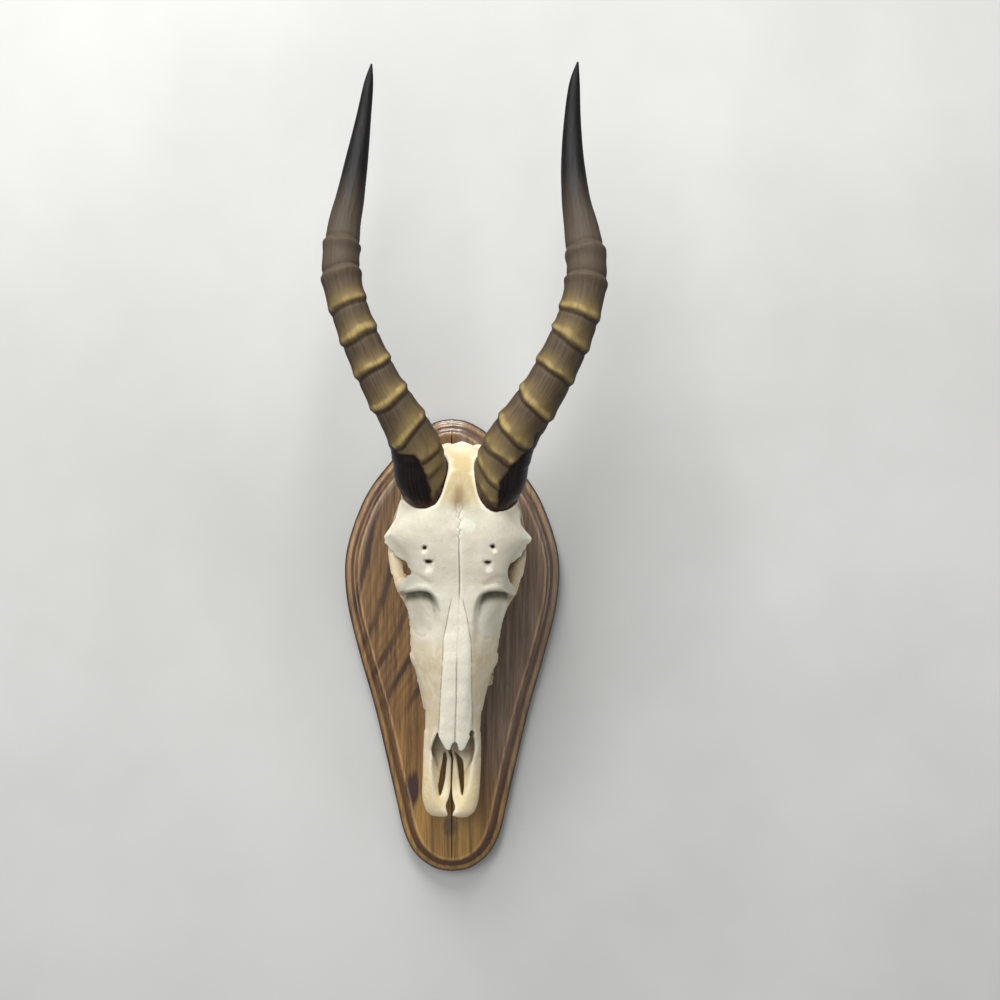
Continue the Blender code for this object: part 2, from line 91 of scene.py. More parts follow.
# Skull: half sections from the top middle to the bottom middle, each point (u, h)
BODY_SECTIONS = (
    (-134.5, ((0, 43), (7, 43.5), (12, 42.5), (14.5, 40), (12, 37), (6, 36), (0, 36))),
    (-129, ((0, 46), (9, 47), (16.5, 46), (19.6, 42), (17, 37), (8, 35), (0, 35))),
    (-118, ((0, 48), (10, 50), (18.5, 49.5), (22.4, 44.5), (20, 37), (9, 34), (0, 34))),
    (-100, ((0, 52), (9, 54), (17.5, 54), (22.6, 48), (21, 38), (9, 33), (0, 33))),
    (-80, ((0, 65), (9, 63.5), (16.5, 59), (22.2, 51), (21.5, 40), (10, 33), (0, 33))),
    (-62, ((0, 72), (8, 71), (16, 64.5), (21.6, 55), (21.5, 42), (11, 34), (0, 34))),
    (-45, ((0, 79), (8, 78), (16, 71), (22.6, 59), (23, 44), (14, 35), (0, 35))),
    (-25, ((0, 86), (9, 85), (18, 77), (26.5, 62), (28, 46), (25, 37), (0, 38))),
    (-5, ((0, 93), (10, 91.5), (20, 83), (33, 62), (32, 46), (28, 37), (0, 39))),
    (20, ((0, 99.5), (12, 98), (24, 89), (36, 68), (35, 48), (30, 37), (0, 40))),
    (40, ((0, 104.5), (16, 104), (30, 97), (41, 76), (37, 52), (32, 37), (0, 40))),
    (56, ((0, 109), (20, 108.5), (34, 102), (38.5, 86), (33, 60), (26, 40), (0, 38))),
    (72, ((0, 114), (24, 113.5), (38.5, 104), (38, 88), (28, 62), (18, 42), (0, 34))),
    (90, ((0, 119), (28, 118), (50, 105), (49, 92), (28, 66), (16, 42), (0, 27))),
    (104, ((0, 121.5), (28, 120), (43, 108), (41, 92), (30, 68), (18, 40), (0, 24))),
    (120, ((0, 122.5), (16, 121.5), (34, 111), (37, 92), (34, 70), (22, 42), (0, 23))),
    (136, ((0, 118), (14, 117), (27, 108), (35, 90), (35, 68), (24, 42), (0, 23))),
    (150, ((0, 107), (14, 106), (26, 97), (31, 82), (31, 64), (23, 42), (0, 24))),
    (155, ((0, 100), (11, 98.6), (19, 91), (21.5, 77), (21, 62), (16, 46), (0, 34))),
    (158.5, ((0, 94), (5, 92.5), (9, 85), (10.5, 73), (10, 62), (7, 52), (0, 44))),
    (161, ((0, 84), (2, 83), (3, 78), (3.5, 71), (3, 64), (2, 58), (0, 56))),
)
# Bars and ridges that grow from the body, each point (u, v, h, radius)
ZYGOMATIC_ARCH = (
    (27.5, -8, 56, 6), (29, 14, 59, 6.2), (31, 29, 61, 6.2), (34.8, 36, 61.5, 6.2), (38.6, 41, 62, 6),
    (42.8, 49, 62, 6), (45.6, 58, 62, 5.8), (48, 68, 61.5, 5.3), (49.4, 77, 61, 5), (48.4, 91, 59.5, 5),
    (45, 105, 57.5, 5.2), (39.5, 120, 54, 5.8), (32, 130, 53, 7),
)
ORBIT_RIM = (
    (38, 112, 104.5, 5.5), (42, 103, 101, 4), (47, 95, 98.6, 3), (49.5, 88.5, 97.4, 2.6), (46, 81, 96, 2.4),
    (39.5, 74, 94.5, 2.4), (36, 64, 90, 3), (37.5, 54, 82, 4.6), (41, 49, 70, 6),
)
POSTORBITAL_BAR = ((41, 109, 103, 5.5), (42.5, 108, 92, 4.4), (43.5, 106, 79, 4.2), (44, 103, 62, 5))
PEDICLE = ((16, 98, 84, 16), (22, 110, 92, 17.6), (26.5, 121, 98, 18.6))
NUCHAL_CREST = (
    (0, 159.8, 90, 2.8), (6, 158.4, 88.5, 2.8), (13, 154.4, 84, 3), (21, 149, 76, 3.4), (28, 144, 66, 4),
    (30, 139, 54, 5),
)
PAROCCIPITAL = ((25, 146, 46, 6), (24, 145, 34, 4.6), (22, 144, 22, 3.6))
FACIAL_TUBER = ((29.5, -2, 60, 3.4), (31, -6, 59.5, 2.8))
BARS = (
    ZYGOMATIC_ARCH, ORBIT_RIM, POSTORBITAL_BAR, PEDICLE, NUCHAL_CREST, PAROCCIPITAL, FACIAL_TUBER,
)
BAR_JOINT = 3.0
CONDYLE = ((12, 152, 40), (9, 11, 13))
BULLA = ((19, 122, 34), (9, 13, 11))
ORBIT = ((50, 82, 81), (29, 19, 15.5))
TEMPORAL_FOSSA = ((33, 118, 70, 5), (39, 124, 76, 7), (43, 134, 82, 9), (47, 146, 88, 10))
NASAL_CAVITY = ((0, -20, 72, 4), (0, -42, 61, 8.5), (0, -62, 55, 11.5), (0, -80, 53, 12))
NOSE_OPENING = ((0, -79, 60, 15.4), (0, -92, 59, 15.4), (0, -112, 59, 15), (0, -129, 60, 14))
NASAL_FLOOR = 42.5
CHOANAE = ((0, 50, 30, 9), (0, 66, 34, 11), (0, 84, 33, 9), (0, 98, 24, 7))
PALATE = ((0, -40, 25, 9.5), (0, -10, 20, 18.5), (0, 24, 18, 21.5), (0, 48, 18, 21.5))
FORAMEN_MAGNUM = ((0, 172, 52), (9, 24, 9))

# How far the bone leans to the viewer's right, at its crest and at its foot: (v, u)
LEAN_CREST = (
    (-135, -0.3), (-88, 0), (-80, 2.3), (-40, 2.4), (-10, 2.1), (30, 2.4), (50, 2.4), (70, 1.8), (85, 1.1),
    (105, 0.9), (160, 0.3),
)
LEAN_FOOT = (
    (-135, -0.2), (-100, 0), (-60, -0.4), (-30, -1.2), (0, -2), (20, -1.5), (50, -1.7), (75, -2),
    (110, -1), (160, 0),
)
CREST_HEIGHT = (
    (-135, 43), (-118, 48), (-100, 54), (-80, 65), (-45, 79), (-5, 93), (40, 104.5), (72, 114),
    (104, 121.5), (120, 122.5), (136, 118), (150, 107), (162, 88),
)
FOOT_HEIGHT = 50.0

# Outlines and lines on the face as seen from the front, (u, v)
BROW_LEFT = (
    (-34, 112), (-45.1, 117), (-46.6, 110), (-48.4, 102), (-52.6, 95), (-57.1, 88.4), (-56.0, 85.6),
    (-56.9, 83), (-53.6, 81.4), (-52.8, 78.2), (-49, 76.8), (-47.8, 73.4), (-44, 71.6), (-41.5, 70),
    (-38, 66.5), (-34, 61), (-29, 72),
)
BROW_RIGHT = (
    (33, 112), (44.4, 114.5), (46, 108), (47.8, 100.5), (51.8, 95.4), (56.8, 90.9), (55.6, 87.2),
    (52.4, 85.8), (52.2, 82.4), (49.4, 80.8), (49.2, 77.2), (46, 75), (43.8, 72.6), (41, 70.8), (39.6, 66),
    (36, 62), (29, 72),
)
ORBIT_SLITS = (
    ((-45, 69.5), (-41, 70.5), (-39, 68), (-37.3, 63), (-36.4, 60.8), (-40, 58.4), (-43, 57), (-45.3, 60),
     (-45.8, 65)),
    ((39.6, 71.4), (42.4, 71), (43, 65), (41, 60.5), (38.6, 61.5), (38.2, 66)),
)
NOSE_EDGE = (
    (-10.6, -61), (-11.7, -64), (-13.1, -68), (-14.4, -73), (-15.3, -79), (-14.6, -85), (-12.4, -93),
    (-8, -102), (0, -106), (9, -102), (13.4, -93), (16.8, -86), (18.4, -80), (18.2, -75), (17.4, -70),
    (16.2, -66), (15.0, -62.5),
)
NASAL_TIPS = (
    (-10.4, -46), (-10.7, -62), (-10, -68), (-8, -72), (-6.2, -75.5), (-4.4, -78), (-2.2, -78.6),
    (-0.2, -77), (1.0, -73.6), (2.2, -71.6), (3.3, -73.6), (4.4, -77), (6.6, -78.8), (9.2, -78.2),
    (11.2, -75.4), (12.8, -71), (14.6, -67), (15.3, -62), (15.1, -46),
)
NASAL_TOP = ((-46, 79), (-62, 72.6), (-70, 69.6), (-79, 66))
FISSURE_LEFT = (
    (-5.6, -83), (-7.6, -88), (-8.6, -95), (-9.6, -102), (-10.6, -110), (-9.8, -116), (-9.0, -118.4),
    (-7.8, -117.5), (-6.3, -111), (-5, -104), (-4.6, -95), (-4, -88), (-3.8, -83),
)
FISSURE_RIGHT = (
    (3, -81), (5.4, -84), (8.2, -88), (9.2, -92), (9.9, -100), (10.3, -108), (10, -114), (9.4, -118),
    (8.4, -116.5), (7, -109), (5.8, -102), (4.7, -95), (3.6, -88),
)
MIDLINE_SLIT = (
    (-1.0, -80), (-0.7, -90), (-0.6, -108), (-0.9, -114), (-1.7, -119), (-3.7, -124.5), (-3.7, -127.5),
    (-2.0, -132.5), (-1.8, -140), (1.6, -140), (1.8, -132.5), (3.8, -128), (3.6, -125), (1.6, -119.5),
    (0.9, -115), (0.7, -108), (0.8, -90), (1.2, -80),
)
MID_SUTURE = (
    (118, 0.6), (108, 0.9), (96, 1.0), (80, 1.2), (70, 1.8), (60, 2.3), (50, 2.5), (35, 2.5), (10, 2.2),
    (-10, 2.0), (-35, 2.5), (-50, 2.3), (-70, 2.3), (-80, 2.3),
)
BORDER_LEFT = (
    (46, -2.6), (38, -4), (30, -5.6), (20, -7), (11, -9), (0, -8.8), (-15, -9.4), (-40, -10.2),
    (-62, -10.7), (-80, -11),
)
BORDER_RIGHT = (
    (46, 4.6), (38, 6.2), (30, 8.6), (20, 10.5), (8, 12.7), (-10, 13.6), (-30, 14.1), (-42, 15),
    (-62, 15.4), (-80, 15.6),
)
SHELF_LEFT = (
    (-44, 43.5), (-40, 45.5), (-35, 47), (-28, 48.6), (-22, 48.3), (-18, 46.5), (-15, 44), (-9, 38),
)
SHELF_RIGHT = (
    (11, 40), (17, 45.5), (20, 48), (25, 50), (31, 50.6), (37, 49.8), (42, 47.5), (46, 45),
)
FOSSA_LEFT = (
    (60, -30), (56, -21), (53, -18.5), (47, -15.5), (40, -12.5), (33, -10.6), (25, -9.8), (0, -10.5),
)
FOSSA_RIGHT = (
    (61, 32), (57, 25), (54, 20.5), (49, 17.5), (42, 15), (35, 13.4), (25, 12.9), (0, 14),
)
# Heights over the wall at which the outlines are drawn, and how deep their openings go
BROW_PLANE = 100
SLIT_PLANE, SLIT_FLOOR = 88, 67
NOSE_PLANE, NOSE_FLOOR = 61, 44
FISSURE_TOP = 62
PLATE_THICK = 3.0
CREASES = (  # lines with their depth and width; a negative depth stands proud
    (((-38, 61), (-30, 60), (-24, 57.5), (-19.5, 54)), 0.7, 1.2),
    (((38, 60.5), (31, 61), (25, 57.5), (21, 54.5)), 0.7, 1.2),
    (((-26, 37), (-23, 34.5), (-20, 30)), -0.9, 0.9),
    (((26, 34), (22, 31), (20, 26)), -0.4, 1.0),
    (((-31, 16), (-29, 12.6), (-24.5, 10.4), (-21, 12.6), (-19.6, 17)), 0.8, 1.0),
    (((18.6, 17), (20.5, 13), (24, 10.9), (28, 11.6)), 0.6, 1.0),
    (((-12.6, -1), (-11.6, 2), (-10.8, 4.5)), 0.7, 0.8),
    (((17.2, -40), (17.6, -50), (17.4, -60)), 0.6, 0.8),
    (((-13.2, -44), (-13.6, -52), (-12.6, -60)), 0.5, 0.8),
)
FORAMINA = (  # u, v, half width, half height, depth, and where the groove below it ends
    (-24.6, 81.4, 1.1, 1.0, 4.6, (-25.6, 76.6)), (26.6, 84.1, 1.4, 1.0, 4.4, (28.8, 79.4)),
    (-21.3, 70.9, 2.9, 0.8, 5, (-21.4, 62.4)), (23.4, 72, 2.6, 0.75, 4.8, (24.4, 64)),
)

# Horns: points along the middle of each, (u, v, h, half width)
HORN_PATHS = {
    "left": (
        (-25.6, 117.8, 96, 19.4), (-29.5, 134, 105.5, 20.6), (-32.5, 150, 113, 19.6),
        (-38.5, 166, 119.5, 18), (-49, 184, 125.5, 16.2), (-62, 205, 130, 15), (-81, 244, 133.5, 14.2),
        (-93.2, 282, 131, 14.3),
        (-93.5, 318, 122, 12.4), (-90.5, 342, 114, 10.8), (-87.1, 374, 104.5, 8.6), (-83.8, 406, 97.5, 5.9),
        (-81, 435, 94, 3.6), (-79.3, 450, 93.5, 0.7),
    ),
    "right": (
        (25.6, 117.8, 96, 19.4), (29.8, 134, 105.5, 20.8), (33, 150, 113, 19.9), (40, 168, 119.5, 18.4),
        (51.5, 187, 125.5, 16.8), (64.5, 209, 130, 16), (82, 250, 133.5, 15.4), (89.6, 288, 130.5, 15.2),
        (85.5, 322, 121.5, 13.2), (80.5, 347, 113.5, 10.9), (77.2, 378, 104, 8.9), (76.1, 410, 97.5, 6.6),
        (76.8, 440, 94.5, 4.2), (78.8, 457, 94, 0.7),
    ),
}
HORN_RIDGES = {  # height of each crest along v, its strength, and its rise per millimetre across
    "left": ((128, 0.5, 0.6), (141.5, 0.7, 0.45), (155, 0.9, 0.15), (171, 1, 0.3), (193, 1.1, 0.1),
             (215.5, 1, 0.1), (239, 1, 0.1), (261.5, 0.8, 0.12), (282, 1.0, 0.05), (305, 1.1, 0)),
    "right": ((129, 0.6, -0.65), (141, 0.8, -0.5), (157, 0.9, -0.15), (172.5, 1, -0.15), (193.5, 1.1, -0.2),
              (217.5, 1, -0.15), (241.5, 1, -0.2), (261, 0.9, -0.1), (284, 1.0, 0), (306, 1.1, 0)),
}
WIDE_RIDGE = 7  # the ridges from this one on are broader, counted from 0 at the base
FLIPPED_RIDGE = 8  # the ridges from this one on fall away downwards and take little colour
HORN_DEEP = 1.2  # how deep a horn's base is from front to back, against its width
HORN_PANELS = {  # the glossy black patch at each base, (u, v)
    "left": ((-66, 183), (-61.4, 176), (-54.7, 161.4), (-45.7, 151), (-32.9, 150.4), (-26.3, 140.8),
             (-20.9, 126.2), (-20, 118), (-22, 100), (-64, 100), (-80, 150), (-80, 183)),
    "right": ((57, 170), (53.4, 163), (48.6, 155.2), (36.3, 143.3), (30.4, 131.7), (28.5, 116.5), (27, 100),
              (66, 100), (74, 170)),
}
HORN_SKEW = 0.42  # how much lower the inner side of a horn's base sits, per millimetre across
RIDGE_ABOVE, RIDGE_BELOW = 4.2, 2.0  # how far a crest spreads up and down the horn
GROOVE_DROP, GROOVE_WIDTH, GROOVE_DEPTH = 3.7, 1.5, 0.5
RIDGE_BACK, RIDGE_GAIN = 0.6, 1.2  # height of a ridge at the back, and what the front has more
PANEL_SUNK = 0.5
FOOT_SUNK = 0.8
HORN_STEPS = 16
HORN_TURNS = 120  # points round each level
LEVEL_STEP = 0.75
TIP_STEP = 2.0
TIP_LEVELS = (3.4, 2, 1, 0.4, 0)

# Where the bone field is sampled
VOXEL = 0.8
FIRST = (-80, -175, 18)
COUNT = (161, 386, 147)
FAR = 5.0
SECTION_STEPS = 6
BAR_STEPS = 4
BONE_RIPPLE = 0.13
RIPPLE_WIDTH = 16
SKULL_QUADS = 96000  # thinning leaves about twice as many triangles
FACE_SPARED = 0.85  # how far the thinning spares the front


def smooth_rows(rows, steps):
    """Catmull-Rom rows through the given ones, with steps rows to each stretch."""
    rows = np.array(rows, float)
    ends = np.concatenate([[2 * rows[0] - rows[1]], rows, [2 * rows[-1] - rows[-2]]])
    out = []
    for i in range(1, len(ends) - 2):
        a, b, c, d = ends[i - 1 : i + 3]
        for t in np.arange(steps) / steps:
            out.append(0.5 * (2 * b + (c - a) * t + (2 * a - 5 * b + 4 * c - d) * t**2
                              + (3 * b - 3 * c + d - a) * t**3))
    return np.array(out + [rows[-1]])


def mirrored(half):
    """A closed loop from its right half, which starts and ends on the middle."""
    return np.concatenate([half, half[-2:0:-1] * (-1, 1)])


def ramp(value, low, high):
    """0 below low, 1 above high and smooth between them."""
    t = np.clip((value - low) / (high - low), 0, 1)
    return t * t * (3 - 2 * t)


def along(table, at):
    """A table of (place, value) read at places."""
    rows = sorted(table)
    return np.interp(at, [row[0] for row in rows], [row[1] for row in rows])


def lean(v, h):
    """How far bone at (v, h) has moved to the side."""
    share = np.clip((h - FOOT_HEIGHT) / np.maximum(along(CREST_HEIGHT, v) - FOOT_HEIGHT, 6), 0, 1)
    share = np.where(v < -86, 1, share)
    return along(LEAN_FOOT, v) * (1 - share) + along(LEAN_CREST, v) * share


def waves(points, scale, seed, octaves=3):
    """Smooth seeded noise from -1 to 1 at points, with features about scale apart."""
    spin = np.random.default_rng(seed)
    total = np.zeros(points.shape[:-1])
    size = 0.0
    for octave in range(octaves):
        for _ in range(5):
            way = spin.normal(size=points.shape[-1])
            way /= np.linalg.norm(way)
            turn = spin.uniform(0, 2 * math.pi)
            total += np.sin(points @ way * (2 * math.pi * 2**octave / scale) + turn) / 2**octave
        size += 2.2 / 2**octave
    return total / size


# The bone as a field: how far each point of a grid lies outside the surface

GRID_U, GRID_V, GRID_H = (
    ((np.arange(count) + first) * VOXEL).astype(np.float32) for count, first in zip(COUNT, FIRST)
)
U3, V3, H3 = GRID_U[:, None, None], GRID_V[None, :, None], GRID_H[None, None, :]
U2, V2 = np.meshgrid(GRID_U, GRID_V, indexing="ij")


def mesh_field(points, triangles, quads):
    grid = openvdb.FloatGrid.createLevelSetFromPolygons(
        np.asarray(points, np.float32), triangles=np.asarray(triangles, np.uint32),
        quads=np.asarray(quads, np.uint32), transform=openvdb.createLinearTransform(voxelSize=VOXEL),
        halfWidth=FAR / VOXEL)
    out = np.empty(COUNT, np.float32)
    grid.copyToArray(out, ijk=FIRST)
    return out


def tube_rings(rings):
    """Points, triangles and quads of a capped tube through closed rings."""
    count = len(rings[0])
    points = np.concatenate([np.concatenate(rings), [np.mean(rings[0], axis=0), np.mean(rings[-1], axis=0)]])
    sides = [(i, (i + 1) % count) for i in range(count)]
    top = (len(rings) - 1) * count
    quads = [(base + i, base + j, base + count + j, base + count + i)
             for base in range(0, top, count) for i, j in sides]
    caps = [(len(points) - 2, j, i) for i, j in sides]
    caps += [(len(points) - 1, top + i, top + j) for i, j in sides]
    return points, caps, quads


def body_field():
    rows = [[section[0], *np.ravel(section[1])] for section in BODY_SECTIONS]
    rings = []
    for row in smooth_rows(rows, SECTION_STEPS):
        loop = mirrored(smooth_rows(row[1:].reshape(-1, 2), SECTION_STEPS))
        rings.append(np.stack([loop[:, 0], np.full(len(loop), row[0]), loop[:, 1]], axis=1))
    return mesh_field(*tube_rings(rings))


def bar_field(path, sign=1, flat=False):
    """The field of a round bar along (u, v, h, radius) points; flat cuts its ends square."""
    rows = smooth_rows(path, BAR_STEPS) * (sign, 1, 1, 1)
    out = np.full(COUNT, FAR, np.float32)
    for a, b in zip(rows, rows[1:]):
        reach = max(a[3], b[3]) + FAR
        low = (np.minimum(a, b)[:3] - reach) / VOXEL - FIRST
        high = (np.maximum(a, b)[:3] + reach) / VOXEL - FIRST
        box = tuple(slice(max(0, int(lo)), min(n, int(hi) + 2)) for lo, hi, n in zip(low, high, COUNT))
        u, v, h = U3[box[0]] - a[0], V3[:, box[1]] - a[1], H3[:, :, box[2]] - a[2]
        way = (b - a)[:3]
        t = np.clip((u * way[0] + v * way[1] + h * way[2]) / max(way @ way, 1e-6), 0, 1)
        gone = np.sqrt((u - t * way[0]) ** 2 + (v - t * way[1]) ** 2 + (h - t * way[2]) ** 2)
        out[box] = np.minimum(out[box], gone - a[3] - t * (b[3] - a[3]))
    if flat:
        out = np.maximum(out, np.maximum(V3 - rows[:, 1].max(), rows[:, 1].min() - V3))
    return out


def ball_field(centre, radii, sign=1):
    u, v, h = (U3 - sign * centre[0]) / radii[0], (V3 - centre[1]) / radii[1], (H3 - centre[2]) / radii[2]
    gone = np.sqrt(u * u + v * v + h * h)
    return np.clip((gone - 1) * min(radii), -FAR, FAR)


def blend_in(field, other, reach):
    """The union of two fields, with the joint filled out over a reach."""
    near = np.maximum(reach - np.abs(field - other), 0)
    return np.minimum(field, other) - near * near / (4 * reach)


def cut_out(field, other, reach=0.0):
    if reach:
        return -blend_in(-field, other, reach)
    return np.maximum(field, -other)


def line_distance(points, u, v):
    """Distance of each (u, v) from a line through points."""
    best = np.full(u.shape, 1e3)
    for (au, av), (bu, bv) in zip(points, points[1:]):
        wu, wv = bu - au, bv - av
        t = np.clip(((u - au) * wu + (v - av) * wv) / (wu * wu + wv * wv), 0, 1)
        best = np.minimum(best, np.hypot(u - au - t * wu, v - av - t * wv))
    return best


def outline_field(points, u, v):
    """Distance outside a closed outline of (u, v), negative inside it."""
    closed = tuple(points) + (points[0],)
    inside = np.zeros(u.shape, bool)
    for (au, av), (bu, bv) in zip(closed, closed[1:]):
        if av != bv:
            crosses = (av > v) != (bv > v)
            inside ^= crosses & (u < (bu - au) * (v - av) / (bv - av) + au)
    return np.where(inside, -1, 1) * line_distance(closed, u, v)


def front_height(field):
    """The height over the wall of the first bone met from the front, per (u, v)."""
    solid = field < 0
    top = COUNT[2] - 1 - np.argmax(solid[:, :, ::-1], axis=2)
    top = np.clip(top, 0, COUNT[2] - 2)
    inner = np.take_along_axis(field, top[:, :, None], 2)[:, :, 0]
    outer = np.take_along_axis(field, top[:, :, None] + 1, 2)[:, :, 0]
    height = GRID_H[top] + VOXEL * inner / np.minimum(inner - outer, -1e-6)
    return np.where(solid.any(axis=2), height, 0)


def shelf_places(u, v):
    """For each tear fossa: the way below its shelf, and how far its sides and bank have risen."""
    for shelf, edge, sign in ((SHELF_LEFT, FOSSA_LEFT, -1), (SHELF_RIGHT, FOSSA_RIGHT, 1)):
        out = sign * (u - along(edge, v))
        yield along(shelf, u) - v, ramp(out, 0, 6) * (sign * u > 0), ramp(out, 0, 3) * (sign * u > 0)


def suture_offset(u, v):
    """The way across from the middle suture, which zigzags between the horns."""
    zigzag = ramp(v, 84, 94) * (0.6 * np.sin(0.8 * v + 2) + 0.4 * np.sin(1.73 * v) + 0.3 * np.sin(3.1 * v))
    return u - along(MID_SUTURE, v) - zigzag


def border_offset(u, v):
    """The way out from the nasal bones' edges, negative between them."""
    return np.maximum(along(BORDER_LEFT, v) - u, u - along(BORDER_RIGHT, v))


def brow_top(u, v):
    """The height of the brow's plate over the orbits."""
    return 111.8 - 0.6 * (np.abs(u) - 38.5) - 0.55 * np.maximum(90 - v, 0) - 0.1 * np.maximum(v - 104, 0)


def face_relief(u, v):
    """How deep the face is carved at (u, v), seen from the front; negative stands proud."""
    deep = np.zeros(u.shape)
    for below, side, bank in shelf_places(u, v):
        fall = np.interp(below, (0, 0.5, 2.2, 8, 22, 36, 50), (0, 1.2, 9.6, 9.4, 4.8, 1.7, 0))
        deep += side * fall * (1 - 0.5 * ramp(np.abs(u), 37, 43))
        deep += bank * 0.9 * ramp(62 - v, 0, 3) * ramp(below, -14, -8) * (1 - ramp(below, -6, -1))
        lip = ramp(below, -4.5, -1.5) * (1 - ramp(below, -0.6, 0.4))
        deep -= 1.2 * side * lip * (1 - ramp(np.abs(u), 34, 40))
    border = border_offset(u, v)
    ends = ramp(v, -66, -60) * (1 - ramp(v, 14, 40))
    deep += ends * 0.35 * ramp(border, 0, 1.6) * (1 - ramp(border, 3, 12))
    deep += ends * 0.35 * np.exp(-((border / 0.9) ** 2))
    cleft = 0.15 + 0.25 * (1 - ramp(v, -10, 2)) + 0.7 * ramp(v, 40, 54)
    deep += cleft * np.exp(-((suture_offset(u, v) / 0.9) ** 2)) * (1 - ramp(v, 108, 114))
    for line, depth, width in CREASES:
        deep += depth * np.exp(-((line_distance(line, u, v) / width) ** 2))
    for at_u, at_v, wide, tall, depth, end in FORAMINA:
        hole = np.sqrt(((u - at_u) / wide) ** 2 + ((v - at_v) / tall) ** 2)
        deep = np.maximum(deep, depth * (1 - ramp(hole, 0.55, 1.35)))
        gone = line_distance(((at_u, at_v), end), u, v)
        left = np.clip((v - end[1]) / (at_v - end[1]), 0, 1) * (v < at_v + 0.5)
        deep += 2.6 * left * (1 - ramp(gone, 0.6, 1.3 + 1.1 * wide))
    return deep


def soften(field, times):
    """Averages each place of a grid with those next to it."""
    for _ in range(times):
        for axis in range(field.ndim):
            low = np.roll(field, 1, axis)
            high = np.roll(field, -1, axis)
            field = 0.5 * field + 0.25 * (low + high)
    return field


def plate_field(outline, seen, top):
    """A plate of bone, cut to an outline, under a top surface."""
    edge = outline_field(outline, seen, V2)[:, :, None]
    plate = np.maximum(np.abs(H3 - top[:, :, None] + PLATE_THICK / 2) - PLATE_THICK / 2, edge)
    return np.clip(plate, -FAR, FAR).astype(np.float32)


def open_outline(field, outline, seen, beyond, reach):
    """Cuts an outline through the bone wherever beyond is negative."""
    gap = outline_field(outline, seen, V2)[:, :, None]
    return cut_out(field, np.maximum(gap, beyond), reach)


def rough_bone():
    """The body with its hollows and bars, before its face is cut."""
    field = body_field()
    for sign in (-1, 1):
        field = cut_out(field, ball_field(*ORBIT, sign), 1.5)
        field = cut_out(field, bar_field(TEMPORAL_FOSSA, sign), 4)
    field = cut_out(field, bar_field(CHOANAE), 2)
    field = cut_out(field, bar_field(PALATE), 2)
    field = cut_out(field, ball_field(*FORAMEN_MAGNUM), 2)
    field = cut_out(field, np.maximum(bar_field(NASAL_CAVITY), NASAL_FLOOR - H3))
    field = cut_out(field, np.maximum(bar_field(NOSE_OPENING, flat=True), NASAL_FLOOR - H3), 1)
    for sign in (-1, 1):
        for bar in BARS:
            field = blend_in(field, bar_field(bar, sign), BAR_JOINT)
        field = blend_in(field, ball_field(*CONDYLE, sign), BAR_JOINT)
        field = blend_in(field, ball_field(*BULLA, sign), BAR_JOINT)
    return field


def cut_face(field):
    """Adds the brow plates and nasal tips, and opens the slits and the nose."""
    seen = U2 + lean(V2, BROW_PLANE)
    for outline in (BROW_LEFT, BROW_RIGHT):
        field = blend_in(field, plate_field(outline, seen, brow_top(seen, V2)), 1.5)
    for outline in ORBIT_SLITS:
        field = open_outline(field, outline, U2 + lean(V2, SLIT_PLANE), SLIT_FLOOR - H3, 0.5)
    field = open_outline(field, NOSE_EDGE, U2 + lean(V2, NOSE_PLANE), NOSE_FLOOR - H3, 0.8)
    seen = U2 + along(LEAN_CREST, V2)
    middle = seen - along(MID_SUTURE, V2)
    top = along(NASAL_TOP, V2) - 3.2 * (middle / 13) ** 2 - 0.4 * np.exp(-((middle / 1.2) ** 2))
    top = top - 1.6 * ramp(V2, -60, -47)
    return blend_in(field, plate_field(NASAL_TIPS, seen, top), 1)


def bone_field(horns):
    """The finished bone: rippled, carved, slit, and cut clear of the horns and the plaque."""
    points = np.stack(np.broadcast_arrays(U3, V3, H3), axis=-1)
    field = soften(cut_face(rough_bone()) + BONE_RIPPLE * waves(points, RIPPLE_WIDTH, 3, 2), 1)
    seen = U2 + along(LEAN_CREST, V2)
    height = front_height(field)
    deep = face_relief(seen, V2)
    carved = H3 - (height - deep)[:, :, None]
    field = np.where((deep > 0.01)[:, :, None], np.maximum(field, carved), field)
    proud = np.clip(-deep, 0, 2)[:, :, None] * ramp(H3, height[:, :, None] - 9, height[:, :, None] - 3)
    field = field - proud
    for outline in (FISSURE_LEFT, FISSURE_RIGHT, MIDLINE_SLIT):
        field = open_outline(field, outline, seen, H3 - FISSURE_TOP, 0.5)
    for horn in horns:
        field = cut_out(field, horn - GAP)
    field = np.maximum(field, PLAQUE_THICK + GAP - H3)
    return soften(field, 1)


# Meshes


def to_skull_place(points):
    """Places in the scene, in metres, of (u, v, h) points in millimetres."""
    u, v, h = np.asarray(points, float).T * MM
    x = u * math.cos(SKULL_ROLL) + v * math.sin(SKULL_ROLL) + SKULL_SHIFT * MM
    z = -u * math.sin(SKULL_ROLL) + v * math.cos(SKULL_ROLL)
    return np.stack([x, -h, z], axis=1)


def new_object(name, data):
    made = bpy.data.objects.new(name, data)
    bpy.context.scene.collection.objects.link(made)
    return made


def new_mesh(name, points, faces):
    mesh = bpy.data.meshes.new(name)
    mesh.from_pydata([tuple(p) for p in points], [], [tuple(int(i) for i in f) for f in faces])
    return new_object(name, mesh)


def new_piece(name, points, faces, finish, nodes):
    piece = new_mesh(name, points, faces)
    piece.data.validate()
    piece.data.update()
    piece.data.shade_smooth()
    piece.data.materials.append(finish)
    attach(piece, "root")
    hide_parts(*nodes)
    return piece


def keep_values(mesh, named):
    """Stores what the materials read at each point."""
    for name, values in named.items():
        values = np.asarray(values, np.float32)
        kind, key = ("FLOAT_VECTOR", "vector") if values.ndim == 2 else ("FLOAT", "value")
        layer = mesh.attributes.new(name, kind, "POINT")
        layer.data.foreach_set(key, values.ravel())


